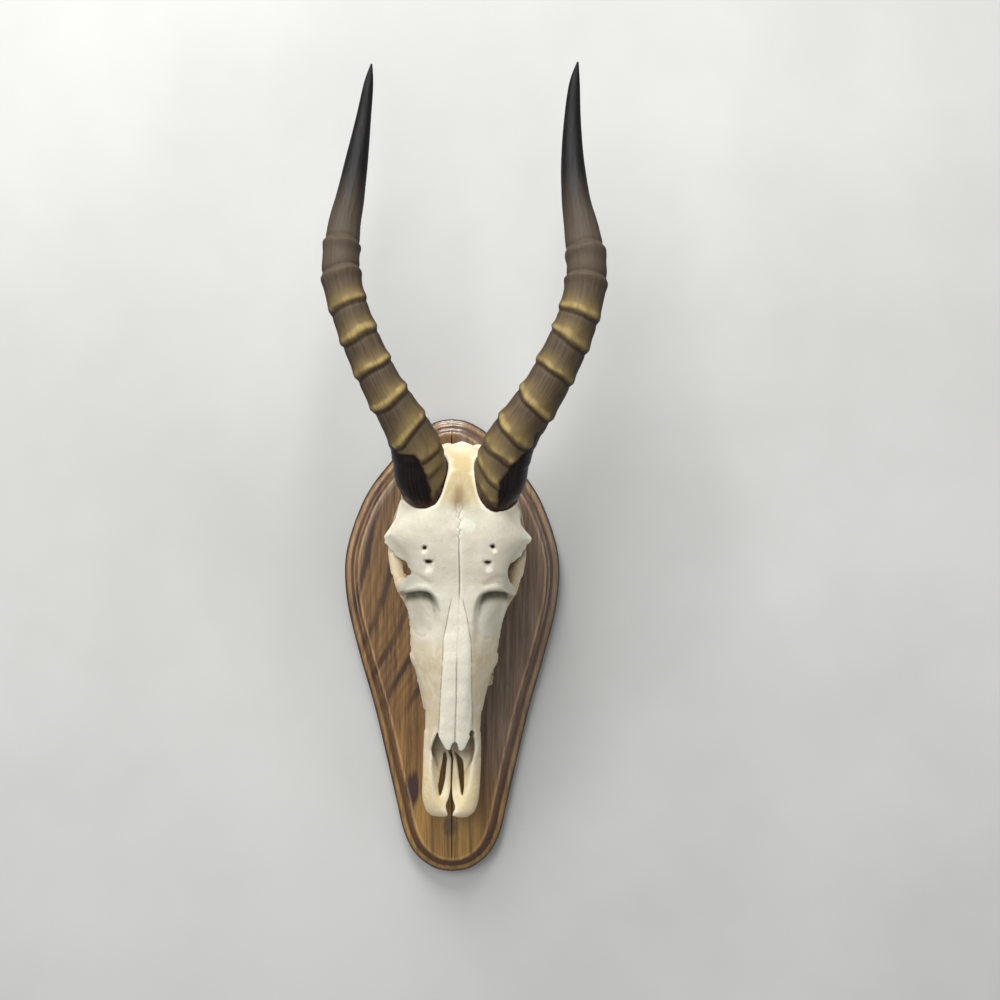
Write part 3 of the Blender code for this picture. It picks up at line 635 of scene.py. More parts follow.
def mesh_points(mesh):
    out = np.empty(len(mesh.vertices) * 3, np.float32)
    mesh.vertices.foreach_get("co", out)
    return out.reshape(-1, 3).astype(float)


def modified(draft):
    """The points and faces of an object after its modifiers."""
    done = bpy.data.meshes.new_from_object(draft.evaluated_get(bpy.context.evaluated_depsgraph_get()))
    return mesh_points(done), [tuple(p.vertices) for p in done.polygons]


def largest_part(points, faces):
    """The largest connected part of a mesh, without loose crumbs."""
    label = np.arange(len(points))
    faces = np.asarray(faces)
    while True:
        low = label[faces].min(axis=1)
        fresh = label.copy()
        for corner in range(faces.shape[1]):
            np.minimum.at(fresh, faces[:, corner], low)
        fresh = fresh[fresh]
        if (fresh == label).all():
            break
        label = fresh
    names, counts = np.unique(label, return_counts=True)
    wanted = label == names[counts.argmax()]
    number = np.cumsum(wanted) - 1
    return points[wanted], number[faces[wanted[faces[:, 0]]]]


def field_mesh(field):
    grid = openvdb.FloatGrid(FAR)
    grid.copyFromArray(np.clip(field, -FAR, FAR).astype(np.float32), ijk=FIRST)
    grid.transform = openvdb.createLinearTransform(voxelSize=VOXEL)
    points, _, quads = grid.convertToPolygons(isovalue=0.0, adaptivity=0.0)
    points, quads = largest_part(points.astype(float), quads)
    a, b, c = (points[quads[:, i]] for i in range(3))
    if np.einsum("ij,ij->", np.cross(b - a, c - a), a - points.mean(axis=0)) < 0:
        quads = quads[:, ::-1]
    return points, quads


def thin_out(points, faces, keep, weight):
    """Collapses a mesh to a share of its faces, less where weight is low."""
    draft = new_mesh("draft", points, faces)
    group = draft.vertex_groups.new(name="keep")
    for value in range(11):
        members = np.flatnonzero(np.round(weight * 10) == value)
        if len(members):
            group.add([int(i) for i in members], value / 10, "REPLACE")
    step = draft.modifiers.new("thin", "DECIMATE")
    step.ratio = keep
    step.vertex_group = "keep"
    step.vertex_group_factor = 1.0
    points, faces = modified(draft)
    bpy.data.objects.remove(draft)
    return points, faces


def sample(grid, points):
    """A field read at (u, v, h) points, linearly between its places."""
    at = points / VOXEL - FIRST
    at = np.clip(at, 0, np.array(COUNT) - 1.001)
    base = at.astype(int)
    part = at - base
    out = np.zeros(len(points))
    for corner in range(8):
        step = np.array((corner & 1, corner >> 1 & 1, corner >> 2 & 1))
        share = np.prod(np.where(step, part, 1 - part), axis=1)
        place = base + step
        out += share * grid[place[:, 0], place[:, 1], place[:, 2]]
    return out


def lean_over(points):
    u, v, h = points.T
    return np.stack([u + lean(v, h), v, h], axis=1)


def build_skull(horn_fields, finish):
    field = bone_field(horn_fields)
    points, faces = field_mesh(field)
    front = ramp(points[:, 2], 40, 70) * (1 - ramp(points[:, 1], 120, 140))
    keep = min(1.0, SKULL_QUADS / len(faces))
    points, faces = thin_out(points, faces, keep, 1 - FACE_SPARED * front)
    # how enclosed each place is, close round and over a wider reach; the bone's material paints highlights
    # and shade from these
    near = soften(np.clip(0.5 - field / VOXEL, 0, 1), 7)
    wide = soften(near, 40)
    seen = lean_over(points)
    piece = new_piece("skull_bone", to_skull_place(seen), faces, finish, ["skull"])
    u, v, h = seen.T
    # the band just under each tear-fossa shelf, which the bone's material darkens as painted shadow
    under = sum(side * ramp(below, 0.3, 1.8) * (1 - ramp(below, 4.5, 11))
                for below, side, _ in shelf_places(u, v))
    # bone just beneath each brow's edge, which the bone's material darkens as painted shade
    gap = np.minimum(outline_field(BROW_LEFT, u, v), outline_field(BROW_RIGHT, u, v))
    keep_values(piece.data, {
        "place": seen,
        "hollow": sample(near, points) - 0.5,
        "deep": sample(wide, points) - 0.5,
        "middle": suture_offset(u, v),
        "border": border_offset(u, v),
        "under": under * (1 - ramp(np.abs(u), 38, 43)),
        "brow": (1 - ramp(gap, 0.5, 4.5)) * (1 - ramp(h, 78, 88)) * ramp(h, 48, 56) * ramp(v, 62, 68),
    })


def ridge_shape(above, wide):
    """A ring's section: proud at its crest, with a slow fall above it and a groove below it."""
    crest = np.exp(-((above / (np.where(above > 0, RIDGE_ABOVE, RIDGE_BELOW) * wide)) ** 2))
    groove = np.exp(-(((above + GROOVE_DROP * wide) / (GROOVE_WIDTH * wide)) ** 2))
    return crest, groove


def horn_levels(name, inward):
    """Rows of (u, v, h, half width) up a horn, with its ways across and to the front."""
    path = smooth_rows(HORN_PATHS[name], HORN_STEPS)
    low, top = path[0, 1], path[-1, 1]
    last = HORN_RIDGES[name][-1][0] + 14
    levels = np.concatenate([
        np.arange(low, last, LEVEL_STEP), np.arange(last, top - 4, TIP_STEP), top - np.array(TIP_LEVELS)
    ])
    rows = np.stack([np.interp(levels, path[:, 1], path[:, i]) for i in range(4)], axis=1)
    for _ in range(4):
        rows[1:-1] = (rows[:-2] + 2 * rows[1:-1] + rows[2:]) / 4
    way = np.gradient(rows[:, :3], axis=0)
    way /= np.linalg.norm(way, axis=1)[:, None]
    side = np.cross(way, (0.0, 0.0, 1.0))
    side /= np.linalg.norm(side, axis=1)[:, None]
    front = np.cross(side, way)
    side[:, 1] -= inward * HORN_SKEW * (1 - ramp(rows[:, 1], low - 6, low + 26))
    return rows, side[:, None], front[:, None]


def horn_rings(name):
    """Rings of points up a horn, with what the material reads at each point."""
    inward = 1 if name == "left" else -1
    rows, side, front = horn_levels(name, inward)
    up, radius = rows[:, 1:2], rows[:, 3:]
    low, top = up[0, 0], up[-1, 0]
    turn = np.arange(HORN_TURNS) * 2 * math.pi / HORN_TURNS
    share = (up - low) / (top - low)
    deep = 1 + (HORN_DEEP - 1) * (1 - share)
    across = np.cos(turn)[None, :]
    ahead = np.sin(turn)[None, :]

    def around(wide, tall):
        """Places round the horn, to read noise at."""
        return np.stack(np.broadcast_arrays(across * wide, ahead * wide, up / tall), axis=-1)

    def placed(grow):
        """Points that stand proud of the smooth horn by grow."""
        point = rows[:, None, :3] + (across * (radius + grow))[..., None] * side
        return point + (ahead * (radius * deep + grow))[..., None] * front

    smooth_place = placed(0)
    wander = waves(smooth_place, 34, 5 if name == "left" else 8, 2)
    crest = np.zeros((len(rows), HORN_TURNS))
    groove = crest.copy()
    since = crest + 60.0
    lift = crest.copy()
    for number, (height, strength, slope) in enumerate(HORN_RIDGES[name]):
        wide = 1.1 if number >= WIDE_RIDGE else 1.0
        above = up - height - slope * across * radius + 1.1 * wander
        if number >= FLIPPED_RIDGE:
            above = -above
        one_crest, one_groove = ridge_shape(above, wide)
        crest = np.maximum(crest, strength * one_crest * (0.25 if number >= FLIPPED_RIDGE else 1))
        groove = np.maximum(groove, min(strength, 1) * one_groove)
        if number < FLIPPED_RIDGE:
            since = np.where(above > -2.2, np.minimum(since, above + 2.2), since)
        lift = np.maximum(lift, strength * one_crest)
    frontal = 0.5 + 0.5 * ahead
    size = np.minimum(1, radius / 12)
    grow = (lift * (RIDGE_BACK + RIDGE_GAIN * frontal) - GROOVE_DEPTH * groove) * size
    grow = grow + 0.12 * waves(around(9, 9), 3.4, 11, 3) * size
    u, v = smooth_place[..., 0], smooth_place[..., 1]
    inside = 0.7 * waves(smooth_place, 12, 21, 2) + 0.2 * waves(around(22, 4), 8, 22, 2)
    inside = inside - outline_field(HORN_PANELS[name], u, v)
    panel = ramp(inside, -0.7, 0.9) * ramp(ahead, -0.6, -0.1)
    inner = np.maximum(inward * across, 0)
    ragged = up + 2.4 * waves(smooth_place, 12, 23, 2) - 6 * inner
    rim = 1 - ramp(ragged, low + 5, low + 13)
    bare = np.maximum(panel, rim)
    crest = crest * (1 - 0.85 * bare) * (0.8 + 0.3 * waves(smooth_place, 13, 31, 2))
    grow = grow * (1 - 0.6 * bare) - PANEL_SUNK * panel
    grow = grow - FOOT_SUNK * (1 - ramp(up, low, low + 3))
    rise, facing, sideways = np.broadcast_arrays(share, ahead, across)
    return placed(grow), {
        "crest": crest, "groove": groove, "since": since, "panel": panel, "rim": rim,
        "rise": rise, "facing": facing, "across": sideways, "grain": around(10, 10),
    }


def build_horn(name, finish):
    place, values = horn_rings(name)
    points, caps, quads = tube_rings(list(place))
    faces = [*quads, *caps]
    piece = new_piece(f"horn_{name}_sheath", to_skull_place(points), faces, finish, [f"horn_{name}"])
    for key, value in values.items():
        flat = value.reshape(-1, *value.shape[2:])
        ends = np.stack([flat[:HORN_TURNS].mean(axis=0), flat[-HORN_TURNS:].mean(axis=0)])
        values[key] = np.concatenate([flat, ends])
    keep_values(piece.data, values)
    return mesh_field(points, caps, quads)


def plaque_loop():
    """Points round the plaque's outline, with the way inward at each."""
    loop = mirrored(smooth_rows(PLAQUE_OUTLINE, PLAQUE_STEPS))
    way = np.roll(loop, -1, axis=0) - np.roll(loop, 1, axis=0)
    way /= np.linalg.norm(way, axis=1)[:, None]
    return loop, np.stack([way[:, 1], -way[:, 0]], axis=1)


def screw_pits():
    """Countersunk holes for the two screws, as closed tubes."""
    turn = np.arange(SCREW_TURNS) * 2 * math.pi / SCREW_TURNS
    for height in SCREW_HEIGHTS:
        x = SKULL_SHIFT + height * math.tan(SKULL_ROLL)
        rings = []
        for depth, radius in SCREW_PIT:
            across, up = x + radius * np.cos(turn), height + radius * np.sin(turn)
            rings.append(np.stack([across, np.full(SCREW_TURNS, -depth), up], axis=1))
        yield tube_rings(rings)


def carve(points, faces, cutters):
    """A mesh with closed cutters taken out of it."""
    parts = [new_mesh("draft", *part) for part in [(points, faces), *cutters]]
    for cutter in parts[1:]:
        step = parts[0].modifiers.new("cut", "BOOLEAN")
        step.operation = "DIFFERENCE"
        step.solver = "EXACT"
        step.object = cutter
    points, faces = modified(parts[0])
    for part in parts:
        bpy.data.objects.remove(part)
    return points, faces


def build_plaque(finish):
    loop, inward = plaque_loop()
    rings = []
    for inset, height in EDGE_PROFILE:
        at = loop + inward * inset
        rings.append(np.stack([at[:, 0], np.full(len(at), -height), at[:, 1]], axis=1))
    points, caps, quads = tube_rings(rings)
    cutters = [(tube, [*sides, *ends]) for tube, ends, sides in screw_pits()]
    points, faces = carve(points, [*quads, *caps], cutters)
    piece = new_piece("plaque_board", points * MM, faces, finish, ["plaque"])
    piece.data.set_sharp_from_angle(angle=SHARP_ANGLE)
    inset = -outline_field([tuple(p) for p in loop], points[:, 0], points[:, 2])
    keep_values(piece.data, {"inset": inset})


# Materials


class Finish:
    """A material's node tree, with short calls for the nodes that it is made of.

    A share is a number, a socket or the tuple that step would take.
    """

    def __init__(self, name):
        self.material = bpy.data.materials.new(name)
        self.material.use_nodes = True
        self.tree = self.material.node_tree
        self.shader = self.tree.nodes["Principled BSDF"]
        self.colour = None

    def put(self, socket, value):
        if isinstance(value, bpy.types.NodeSocket):
            self.tree.links.new(value, socket)
        elif isinstance(value, tuple) and len(value) == 3 and socket.type == "RGBA":
            socket.default_value = (*value, 1)
        else:
            socket.default_value = value

    def node(self, kind, **inputs):
        made = self.tree.nodes.new("ShaderNode" + kind)
        for key, value in inputs.items():
            self.put(made.inputs[key], value)
        return made

    def read(self, name, output="Fac"):
        made = self.node("Attribute")
        made.attribute_name = name
        return made.outputs[output]

    def place(self):
        return self.node("TexCoord").outputs["Object"]

    def maths(self, operation, a, b=0.0):
        made = self.node("Math")
        made.operation = operation
        self.put(made.inputs[0], a)
        self.put(made.inputs[1], b)
        return made.outputs[0]

    def plus(self, a, b):
        return self.maths("ADD", a, b)

    def minus(self, a, b):
        return self.maths("SUBTRACT", a, b)

    def larger(self, a, b):
        return self.maths("MAXIMUM", a, b)

    def absolute(self, a):
        return self.maths("ABSOLUTE", a)

    def step(self, value, low, high, start=0.0, end=1.0):
        """Moves smoothly from start to end while the value goes from low to high."""
        made = self.node("MapRange")
        made.interpolation_type = "SMOOTHSTEP"
        for index, item in enumerate((value, low, high, start, end)):
            self.put(made.inputs[index], item)
        return made.outputs[0]

    def times(self, *shares):
        made = [self.step(*share) if isinstance(share, tuple) else share for share in shares]
        product = made[0]
        for share in made[1:]:
            product = self.maths("MULTIPLY", product, share)
        return product

    def mix(self, share, a, b):
        made = self.node("Mix")
        made.data_type = "RGBA"
        self.put(made.inputs["Factor"], share)
        self.put(made.inputs[6], a)
        self.put(made.inputs[7], b)
        return made.outputs[2]

    def tint(self, colour, *shares):
        """Lays a colour over those so far, as thick as the product of the shares."""
        self.colour = self.mix(self.times(*shares), self.colour, colour)

    def stretch(self, vector, scale, turn=(0.0, 0.0, 0.0)):
        made = self.node("Mapping", Vector=vector)
        made.inputs["Scale"].default_value = scale
        made.inputs["Rotation"].default_value = turn
        return made.outputs[0]

    def noise(self, vector, scale, detail, rough, stretched=None):
        if stretched:
            vector = self.stretch(vector, stretched)
        made = self.node("TexNoise", Vector=vector, Scale=scale, Detail=detail, Roughness=rough)
        return made.outputs["Fac"]

    def spot(self, x, z, centre, radii, ragged):
        """1 within an oval with a ragged edge, 0 outside it."""
        across, up = (self.maths("DIVIDE", self.minus(at, float(middle)), float(radius))
                      for at, middle, radius in zip((x, z), centre, radii))
        gone = self.maths("SQRT", self.plus(self.times(across, across), self.times(up, up)))
        gone = self.plus(gone, self.times(self.minus(ragged, 0.5), 1.6))
        return self.step(gone, 1.15, 0.6)

    def bump(self, height, strength, distance):
        return self.node("Bump", Height=height, Strength=strength, Distance=distance).outputs[0]

    def done(self, roughness, normal=None):
        self.put(self.shader.inputs["Base Color"], self.colour)
        self.put(self.shader.inputs["Roughness"], roughness)
        if normal is not None:
            self.put(self.shader.inputs["Normal"], normal)
        return self.material


def bone_finish():
    f = Finish("bone")
    place = f.read("place", "Vector")
    hollow, deep, border, middle = (f.read(name) for name in ("hollow", "deep", "border", "middle"))
    u, v, h = f.node("SeparateXYZ", Vector=place).outputs
    out = f.absolute(u)
    blotch = f.noise(place, 1.0, 3, 0.6, (0.05, 0.03, 0.05))
    patch = f.noise(place, 1.0, 5, 0.62, (0.16, 0.1, 0.16))
    fine = f.noise(place, 1.0, 6, 0.65, (0.9, 0.6, 0.9))
    wobble = f.noise(place, 1.0, 3, 0.7, (0.5, 0.42, 0.5))
    grain = f.noise(place, 1.0, 4, 0.65, (1.3, 0.09, 1.3))
    sway = f.times(f.minus(wobble, 0.5), 0.9)

    # broad colours
    f.colour = f.mix(f.step(blotch, 0.35, 0.65), (0.74, 0.68, 0.52), (0.83, 0.79, 0.66))
    brow = f.times((v, 38, 66), (patch, 0.3, 0.7, 0.5, 1))
    f.tint((0.69, 0.64, 0.5), brow)
    side = f.larger(f.step(border, -0.4, 1.2), f.step(v, -79, -81))
    f.tint((0.7, 0.56, 0.34), (v, 22, -4), side, (patch, 0.32, 0.68, 0.3, 0.95))  # muzzle
    snout = f.step(v, -84, -104)
    f.tint((0.79, 0.64, 0.36), snout, (patch, 0.3, 0.7, 0.65, 1))
    f.tint((0.6, 0.41, 0.15), snout, (out, 14, 20), (wobble, 0.42, 0.62), 0.6)  # ochre
    nasal = f.times((border, 0.5, -0.6), (v, 58, 20), (v, -80.5, -79.2), (h, 58, 62))
    f.tint((0.91, 0.86, 0.7), nasal, (grain, 0.3, 0.6, 0.75, 1))
    cheek = f.times((out, 36, 41), (h, 80, 70), (v, 104, 92), (v, 20, 40))
    f.tint((0.7, 0.54, 0.32), cheek, (patch, 0.3, 0.7, 0.7, 1))

    # the crown between the horns
    f.tint((0.43, 0.34, 0.155), (v, 106, 124), (patch, 0.3, 0.7, 0.75, 1))
    f.tint((0.52, 0.41, 0.19), (v, 130, 148), 0.85)
    f.tint((0.8, 0.65, 0.46), (v, 148, 159), 0.9)
    centre = f.absolute(f.plus(u, f.times(sway, 1.5)))
    stain = f.times((centre, 11, 1.5), (v, 107, 118), (v, 148, 122), (patch, 0.2, 0.7, 0.6, 1))
    f.tint((0.27, 0.18, 0.075), stain, 0.75)
    f.tint((0.16, 0.1, 0.04), (centre, 4.6, 0.8), (v, 107, 114), (v, 136, 118), 0.5)  # stain
    f.tint((0.84, 0.84, 0.72), f.spot(u, v, (7, 99), (6.5, 7), wobble), (h, 90, 100), 0.6)  # pale
    # painted highlight on the floor of the groove below each foramen
    for at_u, at_v, wide, _, _, (end_u, end_v) in FORAMINA:
        middle_at = ((at_u + 3 * end_u) / 4, (at_v + 3 * end_v) / 4)
        lit_groove = f.times(f.spot(u, v, middle_at, (wide + 0.4, 0.42 * (at_v - end_v)), wobble), (h, 90, 96))
        f.tint((0.94, 0.91, 0.8), lit_groove, 0.5)

    # painted highlight on outward edges and painted shade in hollows
    f.tint((0.93, 0.88, 0.72), (hollow, -0.02, -0.12), 0.5)
    f.tint((0.25, 0.18, 0.09), (hollow, 0.03, 0.2, 0, 0.8))
    # painted shade deep in recesses, half as strong in the nose
    nose = f.times((v, -100, -90), (v, -52, -60))
    f.tint((0.085, 0.048, 0.022), (deep, 0.05, 0.24, 0, 0.94), f.minus(1.0, f.times(nose, 0.5)))  # painted shade
    # painted shadow under each tear-fossa shelf
    f.tint((0.1, 0.092, 0.052), f.read("under"), (patch, 0.2, 0.6, 0.85, 1))
    # painted shade beneath the brow's edge
    f.tint((0.22, 0.16, 0.09), f.read("brow"), (wobble, 0.2, 0.6, 0.7, 1))
    f.tint((0.15, 0.095, 0.048), (h, 61, 53), (v, -93, -80), (v, -40, -56), (out, 20, 17), 0.6)  # painted shade inside the nasal cavity
    specks = f.step(fine, 0.6, 0.74)
    f.tint((0.45, 0.36, 0.21), specks, 0.25)

    # seams
    off = f.absolute(f.plus(middle, f.times(sway, 0.8)))
    front = f.times((h, 48, 56), (v, 118, 108))
    strong = f.larger(f.step(v, 38, 50, 0.15, 1), f.step(v, 2, -12, 0.15, 0.75))
    strong = f.times(strong, (v, 92, 82, 0.5, 1))
    f.tint((0.88, 0.84, 0.7), (off, 2.6, 1.0), front, (v, 44, 52), 0.7)  # lips
    midline = f.times((off, 0.85, 0.2), front, strong, (patch, 0.25, 0.5, 0.6, 1))
    seam = f.times((f.absolute(f.plus(border, sway)), 0.75, 0.2), (v, 46, 38), (v, -66, -60),
                   (patch, 0.3, 0.55, 0.25, 0.9))
    line = f.larger(midline, f.times(seam, 0.75))
    f.tint((0.2, 0.14, 0.08), line, 0.8)

    height = f.times(line, -0.5)
    for value, share in ((fine, 0.35), (grain, 0.45), (f.step(patch, 0.3, 0.7), 0.12), (specks, -0.16)):
        height = f.plus(height, f.times(value, share))
    return f.done(f.step(fine, 0.3, 0.7, 0.48, 0.64), f.bump(height, 0.8, 0.001))


def horn_finish():
    f = Finish("keratin")
    grain = f.read("grain", "Vector")
    rise, since, panel, rim = (f.read(name) for name in ("rise", "since", "panel", "rim"))
    fibre = f.noise(grain, 2.8, 5, 0.72, (1.0, 1.0, 0.1))
    hair = f.noise(grain, 7.0, 3, 0.7, (1.0, 1.0, 0.05))
    mottle = f.noise(grain, 1.0, 4, 0.6, (0.25, 0.25, 0.5))
    cloud = f.noise(grain, 1.0, 4, 0.65, (0.5, 0.5, 0.8))
    f.colour = f.mix(f.step(fibre, 0.35, 0.65), (0.042, 0.028, 0.018), (0.125, 0.09, 0.056))
    f.tint((0.085, 0.064, 0.04), (cloud, 0.35, 0.7, 0, 0.45))
    f.tint((0.175, 0.122, 0.045), (since, 17, 4), (mottle, 0.3, 0.6, 0.5, 1), 0.8)  # olive
    crest = f.times((f.read("crest"), 0.3, 1.0), (f.read("facing"), -0.3, 0.5))
    crest = f.times(crest, (fibre, 0.3, 0.62, 0.45, 1), (cloud, 0.25, 0.6, 0.55, 1))
    crest = f.times(crest, (rise, 0.5, 0.4, 0.22, 1))
    f.tint((0.42, 0.31, 0.11), crest, 0.95)
    # painted shade on the horn's flanks, as seen from the front
    edge = f.step(f.absolute(f.read("across")), 0.72, 1.0)
    f.tint((0.03, 0.022, 0.014), edge, 0.55)
    # painted shade in the groove under each crest
    groove = f.times((f.read("groove"), 0.35, 0.95), (hair, 0.3, 0.65, 0.45, 0.85))
    f.tint((0.034, 0.022, 0.014), groove)
    f.tint((0.072, 0.055, 0.038), (rise, 0.42, 0.56), 0.75)
    tip = f.step(rise, 0.56, 0.76)
    f.tint((0.006, 0.005, 0.005), tip)
    black = f.mix(f.step(fibre, 0.42, 0.68), (0.006, 0.005, 0.006), (0.03, 0.015, 0.012))
    f.tint(black, panel)
    rust = f.mix(f.step(fibre, 0.3, 0.7), (0.012, 0.006, 0.005), (0.085, 0.03, 0.018))
    streak = f.step(f.noise(grain, 1.5, 4, 0.7, (0.5, 0.5, 2.4)), 0.58, 0.7)
    rust = f.mix(f.times(streak, 0.6), rust, (0.26, 0.19, 0.13))
    f.tint(rust, rim, 0.93)
    f.tint((0.16, 0.15, 0.12), (rim, 0.15, 0.4), (rim, 0.75, 0.5), panel, streak, 0.7)  # painted highlight along the lip between the black patch and the rim
    gloss = f.larger(f.larger(f.times(tip, 0.4), panel), f.times(rim, 0.6))
    rough = f.minus(f.step(fibre, 0.3, 0.7, 0.4, 0.56), f.times(gloss, 0.24))
    height = f.plus(f.times(fibre, 0.45), f.times(hair, 0.3))
    height = f.times(height, f.minus(1.0, f.times(gloss, 0.6)))
    f.shader.inputs["Specular IOR Level"].default_value = 0.16
    return f.done(rough, f.bump(height, 0.7, 0.0009))


def oak_finish():
    f = Finish("oak")
    place = f.place()
    x, y, z = f.node("SeparateXYZ", Vector=f.stretch(place, (1000, 1000, 1000))).outputs
    (top_z, top_x), (low_z, low_x) = BOARD_JOINT
    slope = (top_x - low_x) / (top_z - low_z)
    joint = f.minus(x, f.plus(f.times(z, slope), top_x - top_z * slope))
    cloud = f.noise(place, 16.0, 4, 0.6)
    drift = f.times(f.minus(cloud, 0.5), 14.0)
    right = f.step(f.plus(joint, f.times(drift, 0.25)), -1.0, 3.0)
    low = f.step(f.plus(z, drift), -104, -138)
    grey = f.times(right, (f.plus(z, f.times(joint, 1.6)), -110, 10))

    # fine lengthwise grain and pores
    pore = f.noise(f.stretch(place, (1, 1, 0.03), (0, 0.03, 0)), 1500.0, 3, 0.75)
    streak = f.noise(f.stretch(place, (1, 1, 0.045), (0, 0.05, 0)), 330.0, 5, 0.72)
    band = f.noise(f.stretch(place, (1, 1, 0.05), (0, 0.04, 0)), 75.0, 3, 0.6)
    veins = f.step(streak, 0.34, 0.66)
    f.colour = f.mix(veins, (0.105, 0.048, 0.012), (0.29, 0.155, 0.042))
    pale = f.mix(veins, (0.105, 0.066, 0.042), (0.245, 0.172, 0.12))
    f.tint(pale, grey)
    gold = f.mix(veins, (0.17, 0.086, 0.018), (0.36, 0.205, 0.055))
    f.tint(gold, low, 0.85)
    f.tint((0.1, 0.048, 0.022), (band, 0.38, 0.72, 0, 0.5))

    # left board: dark slanting streaks of late growth
    slant = f.minus(x, f.times(z, 0.5))
    slant = f.plus(slant, f.times(z, z, 0.00175))
    slant = f.plus(f.plus(slant, f.times(drift, 0.7)), f.times(f.minus(streak, 0.5), 7.0))
    phase = f.maths("FRACT", f.times(f.plus(slant, 106.0), 1 / 22))
    late = f.times((phase, 0.32, 0.48), (phase, 0.72, 0.58))
    small = f.maths("FRACT", f.times(f.plus(slant, 3.0), 1 / 6.3))
    small = f.times((small, 0.1, 0.5), (small, 0.95, 0.6), 0.35)
    late = f.times(f.larger(late, small), (joint, 4, -8), (z, -74, -26))
    f.tint((0.032, 0.012, 0.005), late, (cloud, 0.3, 0.6, 0.55, 0.95))

    # knot, painted shadow under the skull's nose tip, and crack
    f.tint((0.04, 0.018, 0.016), f.spot(x, z, (-31, -116), (6.5, 15), streak))
    # painted shadow of the skull's nose tip
    f.tint((0.085, 0.05, 0.034), f.spot(x, z, (-2, -146), (7, 8), streak), 0.7)
    crack_x = f.absolute(f.plus(f.minus(x, f.times(z, -0.06)), f.times(drift, 0.15)))
    crack = f.times((f.minus(crack_x, 12.6), 0.9, 0.2), (crack_x, 11.6, 12.4))
    crack = f.times(crack, (z, -146, -150), (joint, 2, 0))
    f.tint((0.05, 0.022, 0.012), crack, 0.7)

    # the moulding: darker in its cove and at its outer edge, lighter on its bead and inner edge
    inset = f.plus(f.read("inset"), f.times(f.minus(band, 0.5), 1.2))
    face = f.step(y, -0.3, -1.0)
    cove = f.times(face, (inset, 4.4, 5.6), (inset, 10.8, 9.2))
    bead = f.times(face, (inset, 1.4, 2.4), (inset, 5.2, 4.2), (streak, 0.3, 0.6, 0.4, 1))
    rim = f.step(inset, 2.0, 0.7)
    f.tint((0.42, 0.23, 0.065), bead, 0.5)
    # the cove darker all round, and more towards the bottom, where the darkening is painted shade
    f.tint((0.06, 0.022, 0.01), cove, (f.plus(z, drift), -60, -160, 0.5, 0.86))
    # painted shade along the outer edge
    f.tint((0.02, 0.01, 0.006), rim, 0.88)
    # the inner edge lighter: rubbed stain and a painted highlight
    rubbed_and_lit_edge = f.times(face, (inset, 10.8, 11.6), (inset, 13.4, 12.0), (streak, 0.35, 0.6, 0.35, 1))
    f.tint((0.5, 0.31, 0.13), rubbed_and_lit_edge, 0.6)

    pores = f.times((pore, 0.54, 0.66), (streak, 0.6, 0.38, 0.25, 1))
    f.tint((0.045, 0.022, 0.01), pores, 0.6)
    height = f.plus(f.times(pores, -0.5), f.times(streak, 0.25))
    f.shader.inputs["Coat Weight"].default_value = 0.4
    f.shader.inputs["Coat Roughness"].default_value = 0.12
    return f.done(f.step(streak, 0.3, 0.7, 0.42, 0.3), f.bump(height, 0.5, 0.0004))


def enamel_finish():
    f = Finish("enamel")
    place = f.place()
    stain = f.noise(place, 420.0, 5, 0.65, (1, 0.4, 1))
    cloud = f.noise(place, 90.0, 3, 0.6)
    f.colour = f.mix(f.step(stain, 0.4, 0.68), (0.72, 0.64, 0.46), (0.3, 0.19, 0.09))
    f.tint((0.55, 0.42, 0.22), (cloud, 0.4, 0.7, 0, 0.5))
    return f.done(f.step(stain, 0.3, 0.7, 0.28, 0.5), f.bump(stain, 0.5, 0.0005))


def steel_finish():
    f = Finish("steel")
    place = f.place()
    brushed = f.noise(place, 2600.0, 4, 0.6, (1, 1, 0.2))
    cloud = f.noise(place, 300.0, 3, 0.6)
    f.shader.inputs["Metallic"].default_value = 1.0
    f.colour = f.mix(f.step(cloud, 0.35, 0.7), (0.56, 0.55, 0.52), (0.4, 0.39, 0.36))
    return f.done(f.step(brushed, 0.3, 0.7, 0.26, 0.44), f.bump(brushed, 0.3, 0.0001))


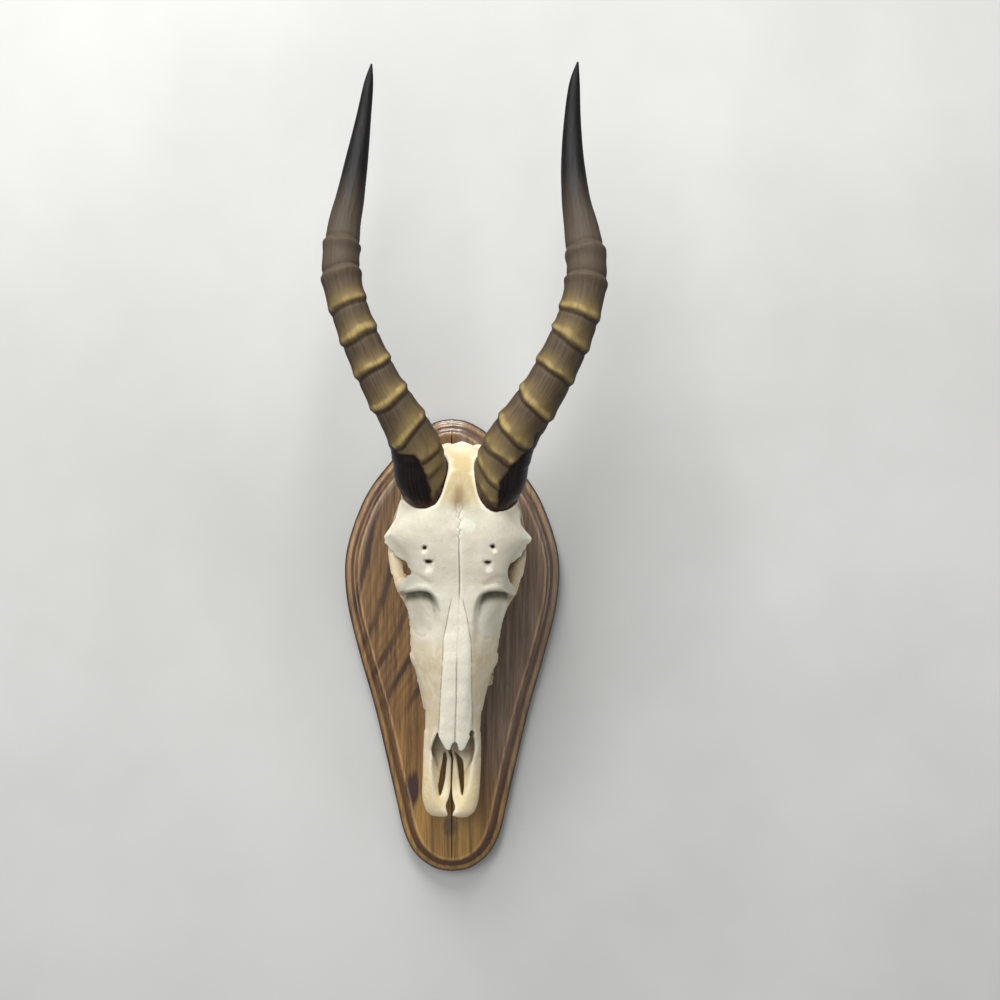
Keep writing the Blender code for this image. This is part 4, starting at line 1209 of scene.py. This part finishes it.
def wall_finish():
    """Plain pale plaster, clear when seen from behind."""
    f = Finish("wall")
    cloud = f.noise(f.place(), 3.0, 4, 0.6)
    f.colour = f.mix(f.step(cloud, 0.3, 0.7), (0.47, 0.47, 0.45), (0.53, 0.53, 0.51))
    f.done(0.9)
    join = f.node("MixShader")
    f.put(join.inputs[0], f.node("NewGeometry").outputs["Backfacing"])
    f.put(join.inputs[1], f.shader.outputs[0])
    f.put(join.inputs[2], f.node("BsdfTransparent").outputs[0])
    f.put(f.tree.nodes["Material Output"].inputs["Surface"], join.outputs[0])
    return f.material


# Camera, stage and light


def build_camera():
    data = bpy.data.cameras.new("camera")
    data.lens = CAMERA_LENS
    data.sensor_width = CAMERA_SENSOR
    data.sensor_fit = "HORIZONTAL"
    camera = new_object("camera", data)
    camera.location = CAMERA_AT
    camera.rotation_euler = (math.pi / 2, 0, 0)
    bpy.context.scene.camera = camera


def build_wall():
    corners = [(x * WALL_HALF, WALL_BEHIND, z * WALL_HALF) for x, z in ((-1, -1), (1, -1), (1, 1), (-1, 1))]
    wall = new_mesh("wall", corners, [(0, 1, 2, 3)])
    wall.data.materials.append(wall_finish())
    wall.visible_shadow = False  # room light also reaches the back of the mount
    wall.visible_diffuse = False
    wall.visible_glossy = False


def add_light(name, place, size, power):
    data = bpy.data.lights.new(name, "AREA")
    data.shape = "RECTANGLE"
    data.size, data.size_y = size
    data.energy = power
    light = new_object(name, data)
    light.location = place
    light.rotation_euler = (Vector(LIGHT_AIM) - Vector(place)).to_track_quat("-Z", "Y").to_euler()


def build_light():
    world = bpy.data.worlds.new("room")
    world.use_nodes = True
    sky = world.node_tree.nodes["Background"]
    sky.inputs["Color"].default_value = SKY_COLOUR
    sky.inputs["Strength"].default_value = SKY_STRENGTH
    scene = bpy.context.scene
    scene.world = world
    for light in LIGHTS:
        add_light(*light)
    scene.view_settings.view_transform = "Standard"
    scene.view_settings.look = "None"


def main():
    build_camera()
    bone, keratin = bone_finish(), horn_finish()
    horns = [build_horn(name, keratin) for name in ("left", "right")]
    build_skull(horns, bone)
    build_plaque(oak_finish())
    finishes = {"tooth": enamel_finish(), "screw": steel_finish()}
    for name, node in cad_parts.items():
        finish = finishes.get(name.split("_")[0])
        if finish:
            node.data.materials.clear()
            node.data.materials.append(finish)
    build_wall()
    build_light()


main()
